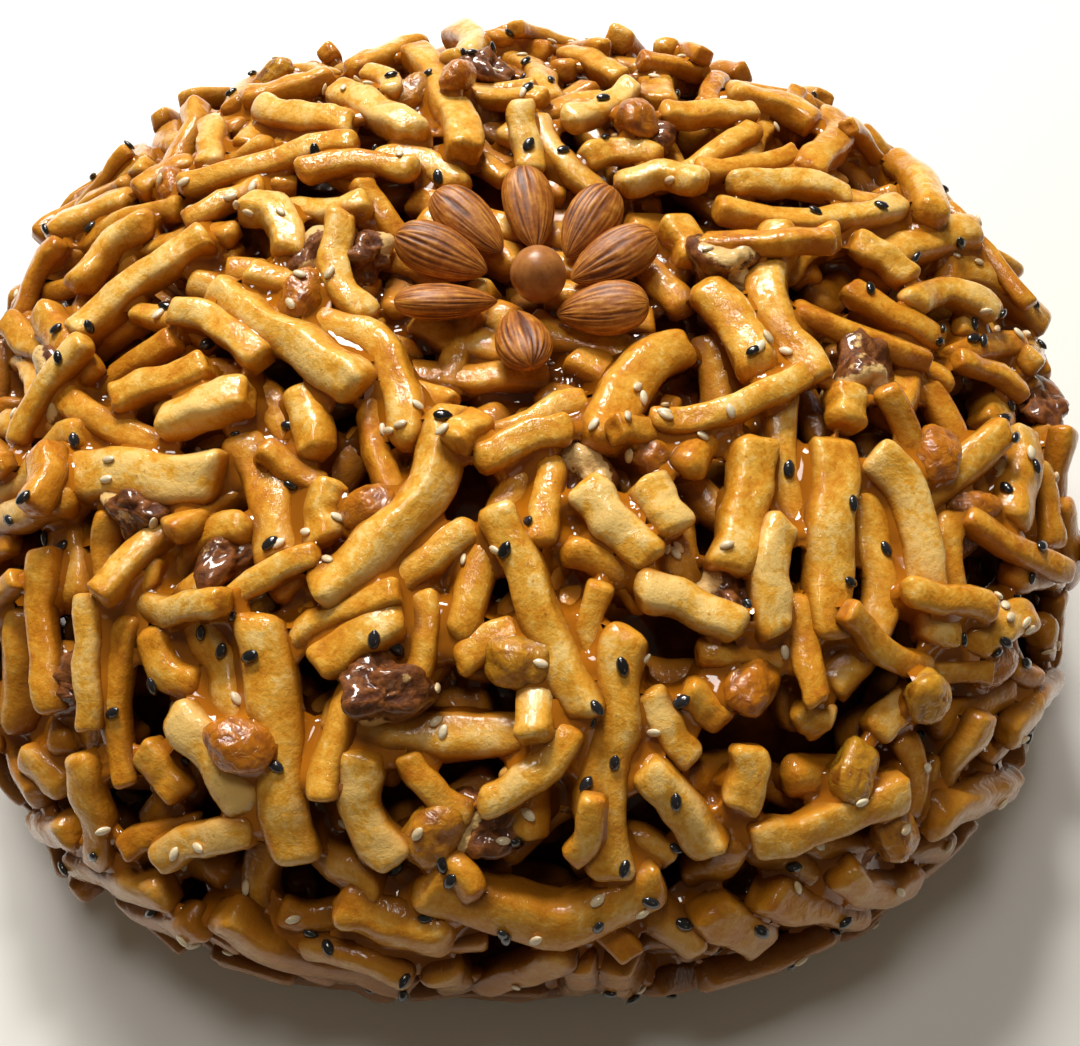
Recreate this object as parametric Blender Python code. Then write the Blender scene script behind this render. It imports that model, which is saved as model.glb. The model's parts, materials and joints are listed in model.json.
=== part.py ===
"""Chak-chak: a dome of fried dough sticks bound with syrup.

A flower of almonds round a hazelnut lies on its top.

Metres, +Z up. The origin is on the flat underside, under the dome's top, and -Y is the front.
A place on the dome is a bearing in degrees, 0 at the front and 90 at +X, and an arc: the distance in
millimetres from the top, measured down the dome's outline.
"""

import math
import random

import bmesh
import bpy
from mathutils import Matrix, Vector

MM = 0.001
SEED = 31

# The dome's outline: a rounded top over a widest girdle, which draws in a little to the foot.
DOME_RADIUS = 150 * MM
DOME_HEIGHT = 108 * MM
GIRDLE_HEIGHT = 31 * MM
FOOT_RADIUS = 146 * MM
DOME_POWER = 2.35
PROFILE_STEPS = 60

# Its plan, in shares of the radius: no true circle, but fuller to the left, front and corners.
PLAN_SIZE = 1.04
PLAN_LEFT = 0.045
PLAN_FRONT = 0.03
PLAN_WIDE = 0.032
PLAN_CORNERS = 0.024

# The core that carries the sticks, and the level seat on its top for the nuts.
CORE_DEPTH = 12.5 * MM
CORE_SEGMENTS = 26
CORE_RINGS = 8
CORE_ROUGHNESS = 2.5 * MM
SEAT_RADIUS = 36 * MM
SEAT_HEIGHT = 97 * MM
SEAT_MIDDLE = Vector((-3, 8, 0)) * MM
SEAT_MARGIN = 9 * MM

# The dough sticks. Sinks are shares of a stick's own height, and the keel is how much further its
# underside reaches than its outer face.
LAID_SIDES, LAID_STATIONS = 6, (0.0, 0.3, 0.7, 1.0)
FILL_SIDES, FILL_STATIONS = 5, (0.0, 0.5, 1.0)
STICK_FLATNESS = 0.86
STICK_KEEL = 2.3
TOP_SINK, TUCKED_SINK, LEANING_SINK, FOOT_SINK, FILL_SINK = 0.12, 0.55, 0.1, 0.15, 0.4
FILL_STICKS = 62
FILL_CHANCES = 30
FILL_LENGTH = (30, 54)
FILL_WIDTH = (9, 13)
RIM_ARC = 165
FOOT_STICKS = 18
FOOT_LENGTH = (38, 52)
FOOT_HEADING = (84, 96)
FOOT_WIDTH = (11, 13)
FOOT_CLEARANCE = 7

# What is mixed in among the sticks.
RAISIN_PLACES = (
    (26, 104), (68, 100), (42, 125), (156, 68), (-154, 86), (34, 150), (-3, 89), (-125, 135), (170, 120),
)
RAISIN_SIZE = Vector((14, 10, 9)) * MM
WALNUT_PLACES = (
    (-20, 96), (-48, 86), (77, 79), (-169, 98), (-84, 112), (28, 84), (105, 44), (120, 140), (-160, 150),
)
WALNUT_SIZE = Vector((16, 12, 11)) * MM
SEEDS = 30
SEED_SIZE = Vector((3.6, 2.1, 1.4)) * MM

# The flower on the top: each almond's middle, its blunt end's bearing, its tilt, roll and length.
ALMONDS = (
    (-2, 27.5, -172, 9, 8, 24.0),
    (-17, 23, -134, 9, -8, 23.5),
    (-23.2, 12.6, -110, 10, -24, 24.0),
    (-21.5, -2.5, -84, 7, 40, 24.5),
    (-3.5, -12.5, 12, 16, 0, 21.0),
    (15.5, -4, 91, 9, 18, 22.0),
    (18.5, 11.5, 117, 9, 16, 23.5),
    (13, 22.5, 148, 9, 20, 22.5),
)
ALMOND_WIDTH = 13.2 * MM
ALMOND_THICKNESS = 8.4 * MM
ALMOND_SIDES = 10
ALMOND_RINGS = 8
ALMOND_TIP_POWER = 0.68
ALMOND_END_POWER = 0.45
HAZELNUT_RADIUS = 6.8 * MM
HAZELNUT_PLACE = Vector((0.3, 4.4, 0)) * MM
FIT_GAP = 0.3 * MM

# Sticks laid by hand over the front and the top, each from one place on the dome to another:
# bearing and arc of the one end, bearing and arc of the other, sideways bow and width.
TOP_STICKS = (
    (-95, 73, -55, 44, 0, 11),
    (-87, 50, -38, 46, -10, 9),
    (-32, 34, -32, 83, -7, 11),
    (-69, 108, -57, 76, 0, 13),
    (-77, 96, -77, 72, 0, 8),
    (-70, 85, -68, 64, 0, 10),
    (-90, 82, -74, 60, -2, 8),
    (-89, 109, -105, 79, -3, 9),
    (-97, 114, -109, 100, -4, 9),
    (-114, 97, -137, 64, -3, 8),
    (-113, 76, -102, 58, -5, 9),
    (-117, 49, -81, 38, 5, 8),
    (-18, 45, 12, 38, 0, 8),
    (-24, 46, -20, 35, 0, 8),
    (-149, 106, -163, 128, 1, 9),
    (-145, 98, -149, 60, -1, 10),
    (-159, 112, -157, 50, -5, 10),
    (-135, 106, -141, 74, 2, 9),
    (-176, 68, -178, 46, 0, 8),
    (153, 45, 128, 54, -3, 8),
    (173, 62, 160, 85, 0, 8),
    (153, 74, 139, 93, 0, 8),
    (146, 99, 132, 108, -2, 9),
    (134, 122, 122, 84, -2, 10),
    (127, 61, 115, 91, -3, 8),
    (120, 51, 112, 107, 4, 8),
    (110, 66, 70, 68, 7, 10),
    (96, 40, 67, 56, -1, 11),
    (78, 36, 19, 45, 4, 12),
    (35, 43, 71, 65, 3, 7),
    (52, 60, 30, 80, -1, 11),
    (43, 76, 32, 96, 4, 9),
    (61, 74, 37, 102, 0, 11),
    (63, 84, 47, 119, -5, 11),
    (106, 84, 97, 97, -1, 8),
    (93, 94, 94, 124, -7, 8),
    (79, 128, 66, 124, -1, 10),
    (72, 74, 64, 77, 0, 9),
    (10, 52, 21, 72, 0, 10),
    (26, 54, 24, 68, 0, 10),
    (16, 76, 28, 92, -1, 9),
    (13, 84, 7, 138, 3, 11),
    (11, 114, 17, 136, -1, 9),
    (23, 114, 20, 128, -1, 9),
    (50, 126, 59, 138, -1, 9),
    (20, 135, 36, 141, 0, 9),
    (37, 153, 49, 176, -1, 10),
    (-37, 90, -22, 138, 1, 12),
    (-19, 110, -13, 134, 3, 10),
    (-11, 140, 12, 142, 5, 12),
    (-10, 57, 7, 102, 0, 9),
    (-18, 147, -7, 151, 1, 11),
    (-19, 82, -27, 97, 1, 9),
    (-39, 116, -27, 128, -1, 10),
    (-33, 149, -26, 132, -3, 8),
    (-44, 136, -39, 164, -3, 8),
)
# Sticks of the second layer, tucked in between those, and sticks that lean against the foot.
TUCKED_STICKS = (
    (-132, 84, -132, 56, 0, 8),
    (-64, 72, -35, 82, 1, 11),
    (-25, 107, 4, 102, 4, 10),
    (-68, 53, -50, 59, 0, 9),
    (-71, 116, -56, 119, 0, 12),
    (-43, 60, -36, 72, 2, 8),
    (-49, 95, -32, 115, -1, 10),
    (-55, 133, -42, 136, 0, 13),
    (-51, 120, -51, 98, -5, 8),
    (-47, 106, -38, 112, 3, 8),
    (-40, 128, -34, 134, 0, 8),
    (-11, 90, -2, 82, 0, 8),
    (-2, 112, -1, 129, -1, 9),
    (58, 88, 35, 114, -5, 9),
    (14, 98, 17, 116, 1, 8),
    (18, 100, 22, 110, -1, 8),
    (31, 111, 32, 119, 0, 8),
    (36, 126, 43, 126, -1, 8),
    (61, 132, 70, 164, -1, 8),
    (97, 156, 79, 122, 2, 12),
    (81, 93, 71, 87, -1, 9),
    (-138, 62, -153, 44, -5, 9),
    (-176, 133, 177, 81, 0, 10),
    (169, 132, 155, 118, -5, 11),
    (166, 52, 146, 60, -3, 8),
    (128, 43, 106, 41, -1, 9),
)
LEANING_STICKS = (
    (-43, 177, -32, 158, 1, 9),
    (-37, 182, -28, 162, 1, 9),
    (-28, 158, -11, 186, 1, 11),
    (-6, 190, 4, 160, -2, 9),
    (21, 150, 30, 180, 2, 10),
    (28, 152, 36, 178, 4, 9),
    (15, 150, 20, 172, 0, 11),
    (7, 164, 8, 196, 0, 12),
    (3, 160, 4, 198, 0, 8),
    (-48, 178, -42, 158, 2, 9),
    (-9, 164, -7, 188, -1, 10),
)


def clear_scene():
    for old in list(bpy.data.objects):
        bpy.data.objects.remove(old)


def make_material(name, colour, roughness):
    material = bpy.data.materials.new(name)
    material.use_nodes = True
    shader = material.node_tree.nodes["Principled BSDF"]
    shader.inputs["Base Color"].default_value = (*colour, 1)
    shader.inputs["Roughness"].default_value = roughness
    shader.inputs["Metallic"].default_value = 0
    return material


def add_object(name, mesh_data, material=None, collection=None):
    """A new object round a finished bmesh."""
    mesh = bpy.data.meshes.new(name)
    mesh_data.to_mesh(mesh)
    mesh_data.free()
    obj = bpy.data.objects.new(name, mesh)
    (collection or bpy.context.scene.collection).objects.link(obj)
    if material:
        mesh.materials.append(material)
    return obj


def plan_share(bearing):
    """How far the dome reaches at a bearing in degrees, as a share of its radius."""
    turn = math.radians(bearing)
    swell = PLAN_FRONT * math.cos(turn) - PLAN_LEFT * math.sin(turn)
    return PLAN_SIZE + swell - PLAN_WIDE * math.cos(2 * turn) - PLAN_CORNERS * math.cos(4 * turn)


def dome_profile(inset=0.0):
    """(radius, height) down the outline from the top to the foot, drawn in by inset."""
    radius = DOME_RADIUS - inset
    rise = DOME_HEIGHT - inset - GIRDLE_HEIGHT
    power = 2 / DOME_POWER
    points = []
    for step in range(PROFILE_STEPS + 1):
        turn = math.pi / 2 * step / PROFILE_STEPS
        height = GIRDLE_HEIGHT + rise * abs(math.cos(turn)) ** power
        points.append((radius * math.sin(turn) ** power, height))
    foot = FOOT_RADIUS - inset
    below = PROFILE_STEPS // 8
    for step in range(1, below + 1):
        share = step / below
        points.append((radius - (radius - foot) * share**2, GIRDLE_HEIGHT * (1 - share)))
    return points


def arc_table(points):
    """The distance down the outline at each of its points."""
    arcs = [0.0]
    for (r0, z0), (r1, z1) in zip(points, points[1:]):
        arcs.append(arcs[-1] + math.hypot(r1 - r0, z1 - z0))
    return arcs


OUTLINE = dome_profile()
OUTLINE_ARCS = arc_table(OUTLINE)


def on_outline(arc):
    """(radius, height) at a distance down the outline."""
    arc = min(max(arc, 0.0), OUTLINE_ARCS[-1])
    for step in range(1, len(OUTLINE)):
        if arc <= OUTLINE_ARCS[step]:
            span = OUTLINE_ARCS[step] - OUTLINE_ARCS[step - 1]
            share = (arc - OUTLINE_ARCS[step - 1]) / span
            r0, z0 = OUTLINE[step - 1]
            r1, z1 = OUTLINE[step]
            return r0 + (r1 - r0) * share, z0 + (z1 - z0) * share
    return OUTLINE[-1]


def on_dome(bearing, arc):
    """(point, outward normal) at a bearing in degrees and an arc in millimetres."""
    turn = math.radians(bearing)
    away = Vector((math.sin(turn), -math.cos(turn), 0))
    share = plan_share(bearing)
    radius, height = on_outline(arc * MM)
    r0, z0 = on_outline((arc - 2) * MM)
    r1, z1 = on_outline((arc + 2) * MM)
    normal = away * (z0 - z1) + Vector((0, 0, (r1 - r0) * share))
    return away * radius * share + Vector((0, 0, height)), normal.normalized()


class Stick:
    """A dough stick's centre line over the dome, with its width and its height."""

    def __init__(self, row, share_sunk):
        bearing_a, arc_a, bearing_b, arc_b, bow, width = row
        self.width = width * MM
        self.height = self.width * STICK_FLATNESS
        sink = self.height * (0.5 + share_sunk)
        start, start_up = on_dome(bearing_a, arc_a)
        end, end_up = on_dome(bearing_b, arc_b)
        self.up = (start_up + end_up).normalized()
        self.start = start - start_up * sink
        self.end = end - end_up * sink
        self.side = (self.end - self.start).cross(self.up).normalized()
        over, over_up = nearest_on_dome((start + end) / 2)
        straight = (self.start + self.end) / 2
        self.middle = straight.lerp(over - over_up * sink, 0.6) + self.side * bow * MM

    def at(self, share):
        """(point, direction) at a share of the length, on a curve through start, middle and end."""
        pull = self.middle * 2 - (self.start + self.end) / 2
        point = self.start * (1 - share) ** 2 + pull * 2 * share * (1 - share) + self.end * share**2
        along = (pull - self.start) * (1 - share) + (self.end - pull) * share
        return point, along.normalized()

    def top(self, share):
        """A point on the outer face."""
        point, along = self.at(share)
        side = along.cross(self.up).normalized()
        return point + side.cross(along) * self.height / 2


def nearest_on_dome(point):
    """The dome's own point under or over a point near it."""
    bearing = math.degrees(math.atan2(point.x, -point.y))
    reach = math.hypot(point.x, point.y) / plan_share(bearing)
    best = min(
        range(0, int(OUTLINE_ARCS[-1] / MM)),
        key=lambda arc: (on_outline(arc * MM)[0] - reach) ** 2 + (on_outline(arc * MM)[1] - point.z) ** 2,
    )
    return on_dome(bearing, best)


def row_middle(row):
    return (on_dome(row[0], row[1])[0] + on_dome(row[2], row[3])[0]) / 2


def stick_row(bearing, arc, length, heading, bow, width):
    """A row like those laid by hand, from a middle, a length and a heading: 0 runs downhill, 90 level."""
    reach = max(on_outline(arc * MM)[0] / MM * plan_share(bearing), 20)
    half_turn = math.degrees(math.sin(math.radians(heading)) * length / 2 / reach)
    half_arc = math.cos(math.radians(heading)) * length / 2
    return bearing - half_turn, arc - half_arc, bearing + half_turn, arc + half_arc, bow, width


def near_seat(row):
    """Whether a row comes so near the seat that its stick would reach the nuts."""
    ends = on_dome(row[0], row[1])[0], on_dome(row[2], row[3])[0], row_middle(row)
    return any(math.hypot(*(end - SEAT_MIDDLE).xy) < SEAT_RADIUS + SEAT_MARGIN for end in ends)


def foot_rows(rng):
    """Sticks laid end to end round the foot, level and a little uneven."""
    rows = []
    for index in range(FOOT_STICKS):
        bearing = 360 * (index + rng.uniform(-0.15, 0.15)) / FOOT_STICKS
        length = rng.uniform(*FOOT_LENGTH)
        arc = OUTLINE_ARCS[-1] / MM - FOOT_CLEARANCE - rng.uniform(0, 5)
        rows.append(stick_row(bearing, arc, length, rng.uniform(*FOOT_HEADING), 0, rng.uniform(*FOOT_WIDTH)))
    return rows


def fill_rows(rng, laid):
    """Sticks for the rest of the dome: of several chances, each takes the place furthest from the others."""
    taken = [row_middle(row) for row in laid]
    rows = []
    full_arc = OUTLINE_ARCS[-1] / MM
    for _ in range(FILL_STICKS):
        best = None
        for _ in range(FILL_CHANCES):
            arc = math.sqrt(rng.uniform(0.04, 1)) * (full_arc - 10)
            length = rng.uniform(*FILL_LENGTH)
            heading = rng.uniform(-75, 75) if arc < RIM_ARC else rng.choice((-1, 1)) * rng.uniform(55, 100)
            bearing = rng.uniform(-180, 180)
            row = stick_row(bearing, arc, length, heading, rng.uniform(-4, 4), rng.uniform(*FILL_WIDTH))
            if near_seat(row) or max(row[1], row[3]) > full_arc - FOOT_CLEARANCE:
                continue
            room = min((row_middle(row) - other).length for other in taken)
            if best is None or room > best[0]:
                best = room, row
        taken.append(row_middle(best[1]))
        rows.append(best[1])
    return rows


def add_stick(stick, sides, stations, rng, collection):
    """One stick: a few-sided bar on its centre line, with an uneven waist and flared or tapered ends.

    Its underside reaches deeper than its outer face, as a keel into the syrup that binds it to the core.
    """
    mesh = bmesh.new()
    rings = []
    for share in stations:
        scale = rng.uniform(0.94, 1.08) if 0 < share < 1 else rng.uniform(0.82, 1.08)
        point, along = stick.at(share)
        side = along.cross(stick.up).normalized()
        out = side.cross(along)
        ring = []
        for corner in range(sides):
            turn = 2 * math.pi * (corner + 0.5) / sides - math.pi / 2
            across = side * math.cos(turn) * stick.width / 2
            keel = STICK_KEEL if math.sin(turn) < 0 else 1
            over = out * math.sin(turn) * stick.height / 2 * keel
            ring.append(mesh.verts.new(point + (across + over) * scale))
        rings.append(ring)
    for lower, upper in zip(rings, rings[1:]):
        for corner in range(sides):
            after = (corner + 1) % sides
            mesh.faces.new((lower[corner], lower[after], upper[after], upper[corner]))
    mesh.faces.new(rings[0])
    mesh.faces.new(rings[-1])
    bmesh.ops.recalc_face_normals(mesh, faces=mesh.faces)
    return add_object("stick", mesh, collection=collection)


def add_lump(centre, up, size, rng, jitter, collection, subdivisions=1):
    """A raisin, a walnut piece or a seed: a small ball stretched to its size, turned and made uneven."""
    mesh = bmesh.new()
    if subdivisions:
        bmesh.ops.create_icosphere(mesh, subdivisions=subdivisions, radius=0.5)
    else:
        bmesh.ops.create_uvsphere(mesh, u_segments=5, v_segments=3, radius=0.5)
    for vert in mesh.verts:
        vert.co *= 1 + rng.uniform(-jitter, jitter)
        vert.co = Vector((vert.co.x * size.x, vert.co.y * size.y, vert.co.z * size.z))
    spin = Matrix.Rotation(rng.uniform(0, 2 * math.pi), 4, "Z")
    stand = up.to_track_quat("Z", "Y").to_matrix().to_4x4()
    bmesh.ops.transform(mesh, matrix=Matrix.Translation(centre) @ stand @ spin, verts=mesh.verts)
    return add_object("lump", mesh, collection=collection)


def core_profile():
    """The core's outline, inside the dome's, with the level seat on top."""
    points = [(r, z) for r, z in dome_profile(CORE_DEPTH) if r > SEAT_RADIUS + SEAT_MARGIN]
    arcs = arc_table(points)
    rings = []
    for step in range(CORE_RINGS + 1):
        wanted = arcs[-1] * step / CORE_RINGS
        nearest = min(range(len(points)), key=lambda index: abs(arcs[index] - wanted))
        rings.append(points[nearest])
    return rings


def add_core(rng, material):
    """The bound middle of the dome: turned rings with an uneven side, a level seat and a flat underside."""
    mesh = bmesh.new()
    rings = []
    profile = core_profile()
    for level, (radius, height) in enumerate(profile):
        ring = []
        for segment in range(CORE_SEGMENTS):
            bearing = 360 * (segment + 0.5 * (level % 2)) / CORE_SEGMENTS
            last = level in (0, len(profile) - 1)
            bump = 0 if last else rng.uniform(-CORE_ROUGHNESS, CORE_ROUGHNESS)
            reach = radius * plan_share(bearing) + bump
            turn = math.radians(bearing)
            lift = bump / 2 * (not last)
            ring.append(mesh.verts.new((math.sin(turn) * reach, -math.cos(turn) * reach, height + lift)))
        rings.append(ring)
    seat = []
    for segment in range(CORE_SEGMENTS):
        turn = 2 * math.pi * segment / CORE_SEGMENTS
        away = Vector((math.sin(turn), -math.cos(turn), 0)) * SEAT_RADIUS
        seat.append(mesh.verts.new(SEAT_MIDDLE + away + Vector((0, 0, SEAT_HEIGHT))))
    rings.insert(0, seat)
    for upper, lower in zip(rings, rings[1:]):
        for segment in range(CORE_SEGMENTS):
            after = (segment + 1) % CORE_SEGMENTS
            mesh.faces.new((upper[segment], lower[segment], lower[after], upper[after]))
    mesh.faces.new(seat)
    mesh.faces.new(rings[-1])
    bmesh.ops.triangulate(mesh, faces=mesh.faces)
    bmesh.ops.recalc_face_normals(mesh, faces=mesh.faces)
    return add_object("stick_dome", mesh, material)


def keep_outer_shell(obj):
    """Fills what the union sealed and drops loose scraps: only the largest run of joined faces stays."""
    mesh = bmesh.new()
    mesh.from_mesh(obj.data)
    unseen = set(mesh.faces)
    shells = []
    while unseen:
        shell = set()
        edge = [unseen.pop()]
        while edge:
            face = edge.pop()
            shell.add(face)
            for side in face.edges:
                for other in side.link_faces:
                    if other in unseen:
                        unseen.remove(other)
                        edge.append(other)
        shells.append(shell)
    largest = max(shells, key=len)
    waste = [face for shell in shells if shell is not largest for face in shell]
    bmesh.ops.delete(mesh, geom=waste, context="FACES")
    mesh.to_mesh(obj.data)
    mesh.free()
    return len(shells) - 1


def fuse(core, collection):
    """One Boolean union of the core with all that lies on it."""
    union = core.modifiers.new("fused", "BOOLEAN")
    union.operation = "UNION"
    union.operand_type = "COLLECTION"
    union.collection = collection
    union.solver = "MANIFOLD"
    bpy.context.view_layer.objects.active = core
    bpy.context.view_layer.update()
    graph = bpy.context.evaluated_depsgraph_get()
    fused = bpy.data.meshes.new_from_object(core.evaluated_get(graph))
    core.modifiers.clear()
    core.data = fused
    for piece in list(collection.objects):
        bpy.data.objects.remove(piece)
    bpy.data.collections.remove(collection)


def add_stick_dome(material):
    rng = random.Random(SEED)
    toppings = bpy.data.collections.new("fused pieces")
    bpy.context.scene.collection.children.link(toppings)
    core = add_core(rng, material)
    foot = foot_rows(rng)
    laid = [*TOP_STICKS, *TUCKED_STICKS, *LEANING_STICKS, *foot]
    sticks = [Stick(row, TOP_SINK) for row in TOP_STICKS]
    sticks += [Stick(row, LEANING_SINK) for row in LEANING_STICKS]
    for stick in sticks:
        add_stick(stick, LAID_SIDES, LAID_STATIONS, rng, toppings)
    under = [Stick(row, TUCKED_SINK) for row in TUCKED_STICKS]
    under += [Stick(row, FOOT_SINK) for row in foot]
    under += [Stick(row, FILL_SINK) for row in fill_rows(rng, laid)]
    for stick in under:
        add_stick(stick, FILL_SIDES, FILL_STATIONS, rng, toppings)
    for places, size, jitter in ((RAISIN_PLACES, RAISIN_SIZE, 0.08), (WALNUT_PLACES, WALNUT_SIZE, 0.16)):
        for bearing, arc in places:
            point, up = on_dome(bearing, arc)
            add_lump(point - up * size.z * 0.9, up, size * rng.uniform(0.85, 1.15), rng, jitter, toppings)
    for stick in rng.sample(sticks, SEEDS):
        add_lump(stick.top(rng.uniform(0.2, 0.8)), stick.up, SEED_SIZE, rng, 0, toppings, subdivisions=0)
    fuse(core, toppings)
    print("dropped shells:", keep_outer_shell(core), "faces:", len(core.data.polygons))
    return core


def almond_swell(share):
    """How full an almond is at a share of its length: pointed at 0, round at 1, and 1 at its widest."""
    widest = ALMOND_TIP_POWER / (ALMOND_TIP_POWER + ALMOND_END_POWER)
    most = widest**ALMOND_TIP_POWER * (1 - widest) ** ALMOND_END_POWER
    return share**ALMOND_TIP_POWER * (1 - share) ** ALMOND_END_POWER / most


def almond_rings(length):
    """Rings of a pointed, flattened nut along +X, its tip at -X and its blunt end at +X."""
    rings = []
    for step in range(1, ALMOND_RINGS):
        share = (1 - math.cos(math.pi * step / ALMOND_RINGS)) / 2
        swell = almond_swell(share)
        ring = []
        for corner in range(ALMOND_SIDES):
            turn = 2 * math.pi * corner / ALMOND_SIDES
            ring.append(Vector((
                (share - 0.5) * length,
                math.cos(turn) * swell * ALMOND_WIDTH / 2,
                math.sin(turn) * swell * ALMOND_THICKNESS / 2,
            )))
        rings.append(ring)
    return rings


def add_almond(number, row, material):
    """One almond of the flower, tip inwards, resting on the seat."""
    x, y, bearing, tilt, roll, length = row
    length *= MM
    mesh = bmesh.new()
    rings = [[mesh.verts.new(point) for point in ring] for ring in almond_rings(length)]
    tip = mesh.verts.new((-length / 2, 0, 0))
    blunt = mesh.verts.new((length / 2, 0, 0))
    for corner in range(ALMOND_SIDES):
        after = (corner + 1) % ALMOND_SIDES
        mesh.faces.new((tip, rings[0][after], rings[0][corner]))
        mesh.faces.new((blunt, rings[-1][corner], rings[-1][after]))
        for lower, upper in zip(rings, rings[1:]):
            mesh.faces.new((lower[corner], lower[after], upper[after], upper[corner]))
    bmesh.ops.recalc_face_normals(mesh, faces=mesh.faces)
    rolled = Matrix.Rotation(math.radians(roll), 4, "X")
    tilted = Matrix.Rotation(math.radians(-tilt), 4, "Y")
    turned = Matrix.Rotation(math.radians(bearing - 90), 4, "Z")
    bmesh.ops.transform(mesh, matrix=turned @ tilted @ rolled, verts=mesh.verts)
    lowest = min(vert.co.z for vert in mesh.verts)
    bmesh.ops.translate(mesh, vec=(x * MM, y * MM, SEAT_HEIGHT + FIT_GAP - lowest), verts=mesh.verts)
    almond = add_object(f"almond_{number}", mesh, material)
    almond.data.shade_smooth()
    return almond


def add_hazelnut(material):
    """The round nut in the middle of the flower."""
    mesh = bmesh.new()
    bmesh.ops.create_uvsphere(mesh, u_segments=14, v_segments=9, radius=HAZELNUT_RADIUS)
    place = HAZELNUT_PLACE + Vector((0, 0, SEAT_HEIGHT + FIT_GAP + HAZELNUT_RADIUS))
    bmesh.ops.translate(mesh, vec=place, verts=mesh.verts)
    nut = add_object("hazelnut", mesh, material)
    nut.data.shade_smooth()
    return nut


def main():
    clear_scene()
    dough = make_material("glazed dough", (0.72, 0.45, 0.13), 0.3)
    skin = make_material("almond skin", (0.36, 0.14, 0.05), 0.6)
    shell = make_material("hazelnut skin", (0.42, 0.17, 0.07), 0.45)
    add_stick_dome(dough)
    for number, row in enumerate(ALMONDS, 1):
        add_almond(number, row, skin)
    add_hazelnut(shell)


main()
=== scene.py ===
import json
import math
import random

import bmesh
import bpy
import numpy as np
from mathutils import Euler, Matrix, Vector, noise
from mathutils.bvhtree import BVHTree
from mathutils.kdtree import KDTree

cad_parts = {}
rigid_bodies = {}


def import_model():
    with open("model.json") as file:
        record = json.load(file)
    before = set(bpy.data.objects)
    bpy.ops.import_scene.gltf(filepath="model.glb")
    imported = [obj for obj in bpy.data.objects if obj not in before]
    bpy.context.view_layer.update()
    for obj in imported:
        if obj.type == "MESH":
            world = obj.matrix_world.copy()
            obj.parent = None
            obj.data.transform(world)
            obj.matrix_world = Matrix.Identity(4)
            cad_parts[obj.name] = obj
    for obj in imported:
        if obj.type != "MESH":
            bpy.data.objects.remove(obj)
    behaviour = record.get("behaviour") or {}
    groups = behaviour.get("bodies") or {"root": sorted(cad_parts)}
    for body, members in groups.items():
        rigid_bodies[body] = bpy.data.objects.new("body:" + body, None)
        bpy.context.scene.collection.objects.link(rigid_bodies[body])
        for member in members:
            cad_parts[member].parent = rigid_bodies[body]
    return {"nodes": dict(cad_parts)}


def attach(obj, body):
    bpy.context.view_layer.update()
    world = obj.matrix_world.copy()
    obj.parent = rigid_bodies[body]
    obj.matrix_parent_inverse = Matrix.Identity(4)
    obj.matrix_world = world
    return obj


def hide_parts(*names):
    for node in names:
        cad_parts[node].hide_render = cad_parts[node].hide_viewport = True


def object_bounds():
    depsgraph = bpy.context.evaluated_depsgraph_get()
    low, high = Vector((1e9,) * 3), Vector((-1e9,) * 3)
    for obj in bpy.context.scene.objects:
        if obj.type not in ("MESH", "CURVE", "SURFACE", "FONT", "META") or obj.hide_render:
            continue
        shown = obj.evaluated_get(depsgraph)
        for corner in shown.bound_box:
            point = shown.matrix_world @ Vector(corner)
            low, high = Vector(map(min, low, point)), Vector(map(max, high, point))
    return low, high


# Chak-chak: a dome of syrup-glazed fried dough sticks with seeds, raisins and walnuts, and a nut flower on top.
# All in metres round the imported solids; a place on the dome is a bearing (degrees, 0 in front) and an arc (mm from
# the top, down the outline).

for old in list(bpy.data.objects):
    bpy.data.objects.remove(old)
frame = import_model()
cadLow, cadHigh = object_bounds()
mm = 0.001
ground = cadLow.z + 0.0003
print("frame loaded:", len(frame["nodes"]), "nodes")


def deselectAll():
    for item in list(bpy.context.selected_objects):
        item.select_set(False)


def setAll(target, values):
    for name, value in values.items():
        setattr(target, name, value)


def unit(vectors):
    return vectors / np.maximum(np.linalg.norm(vectors, axis=1, keepdims=True), 1e-9)


def clamp(values):
    return np.clip(values, 0, 1)


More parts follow.
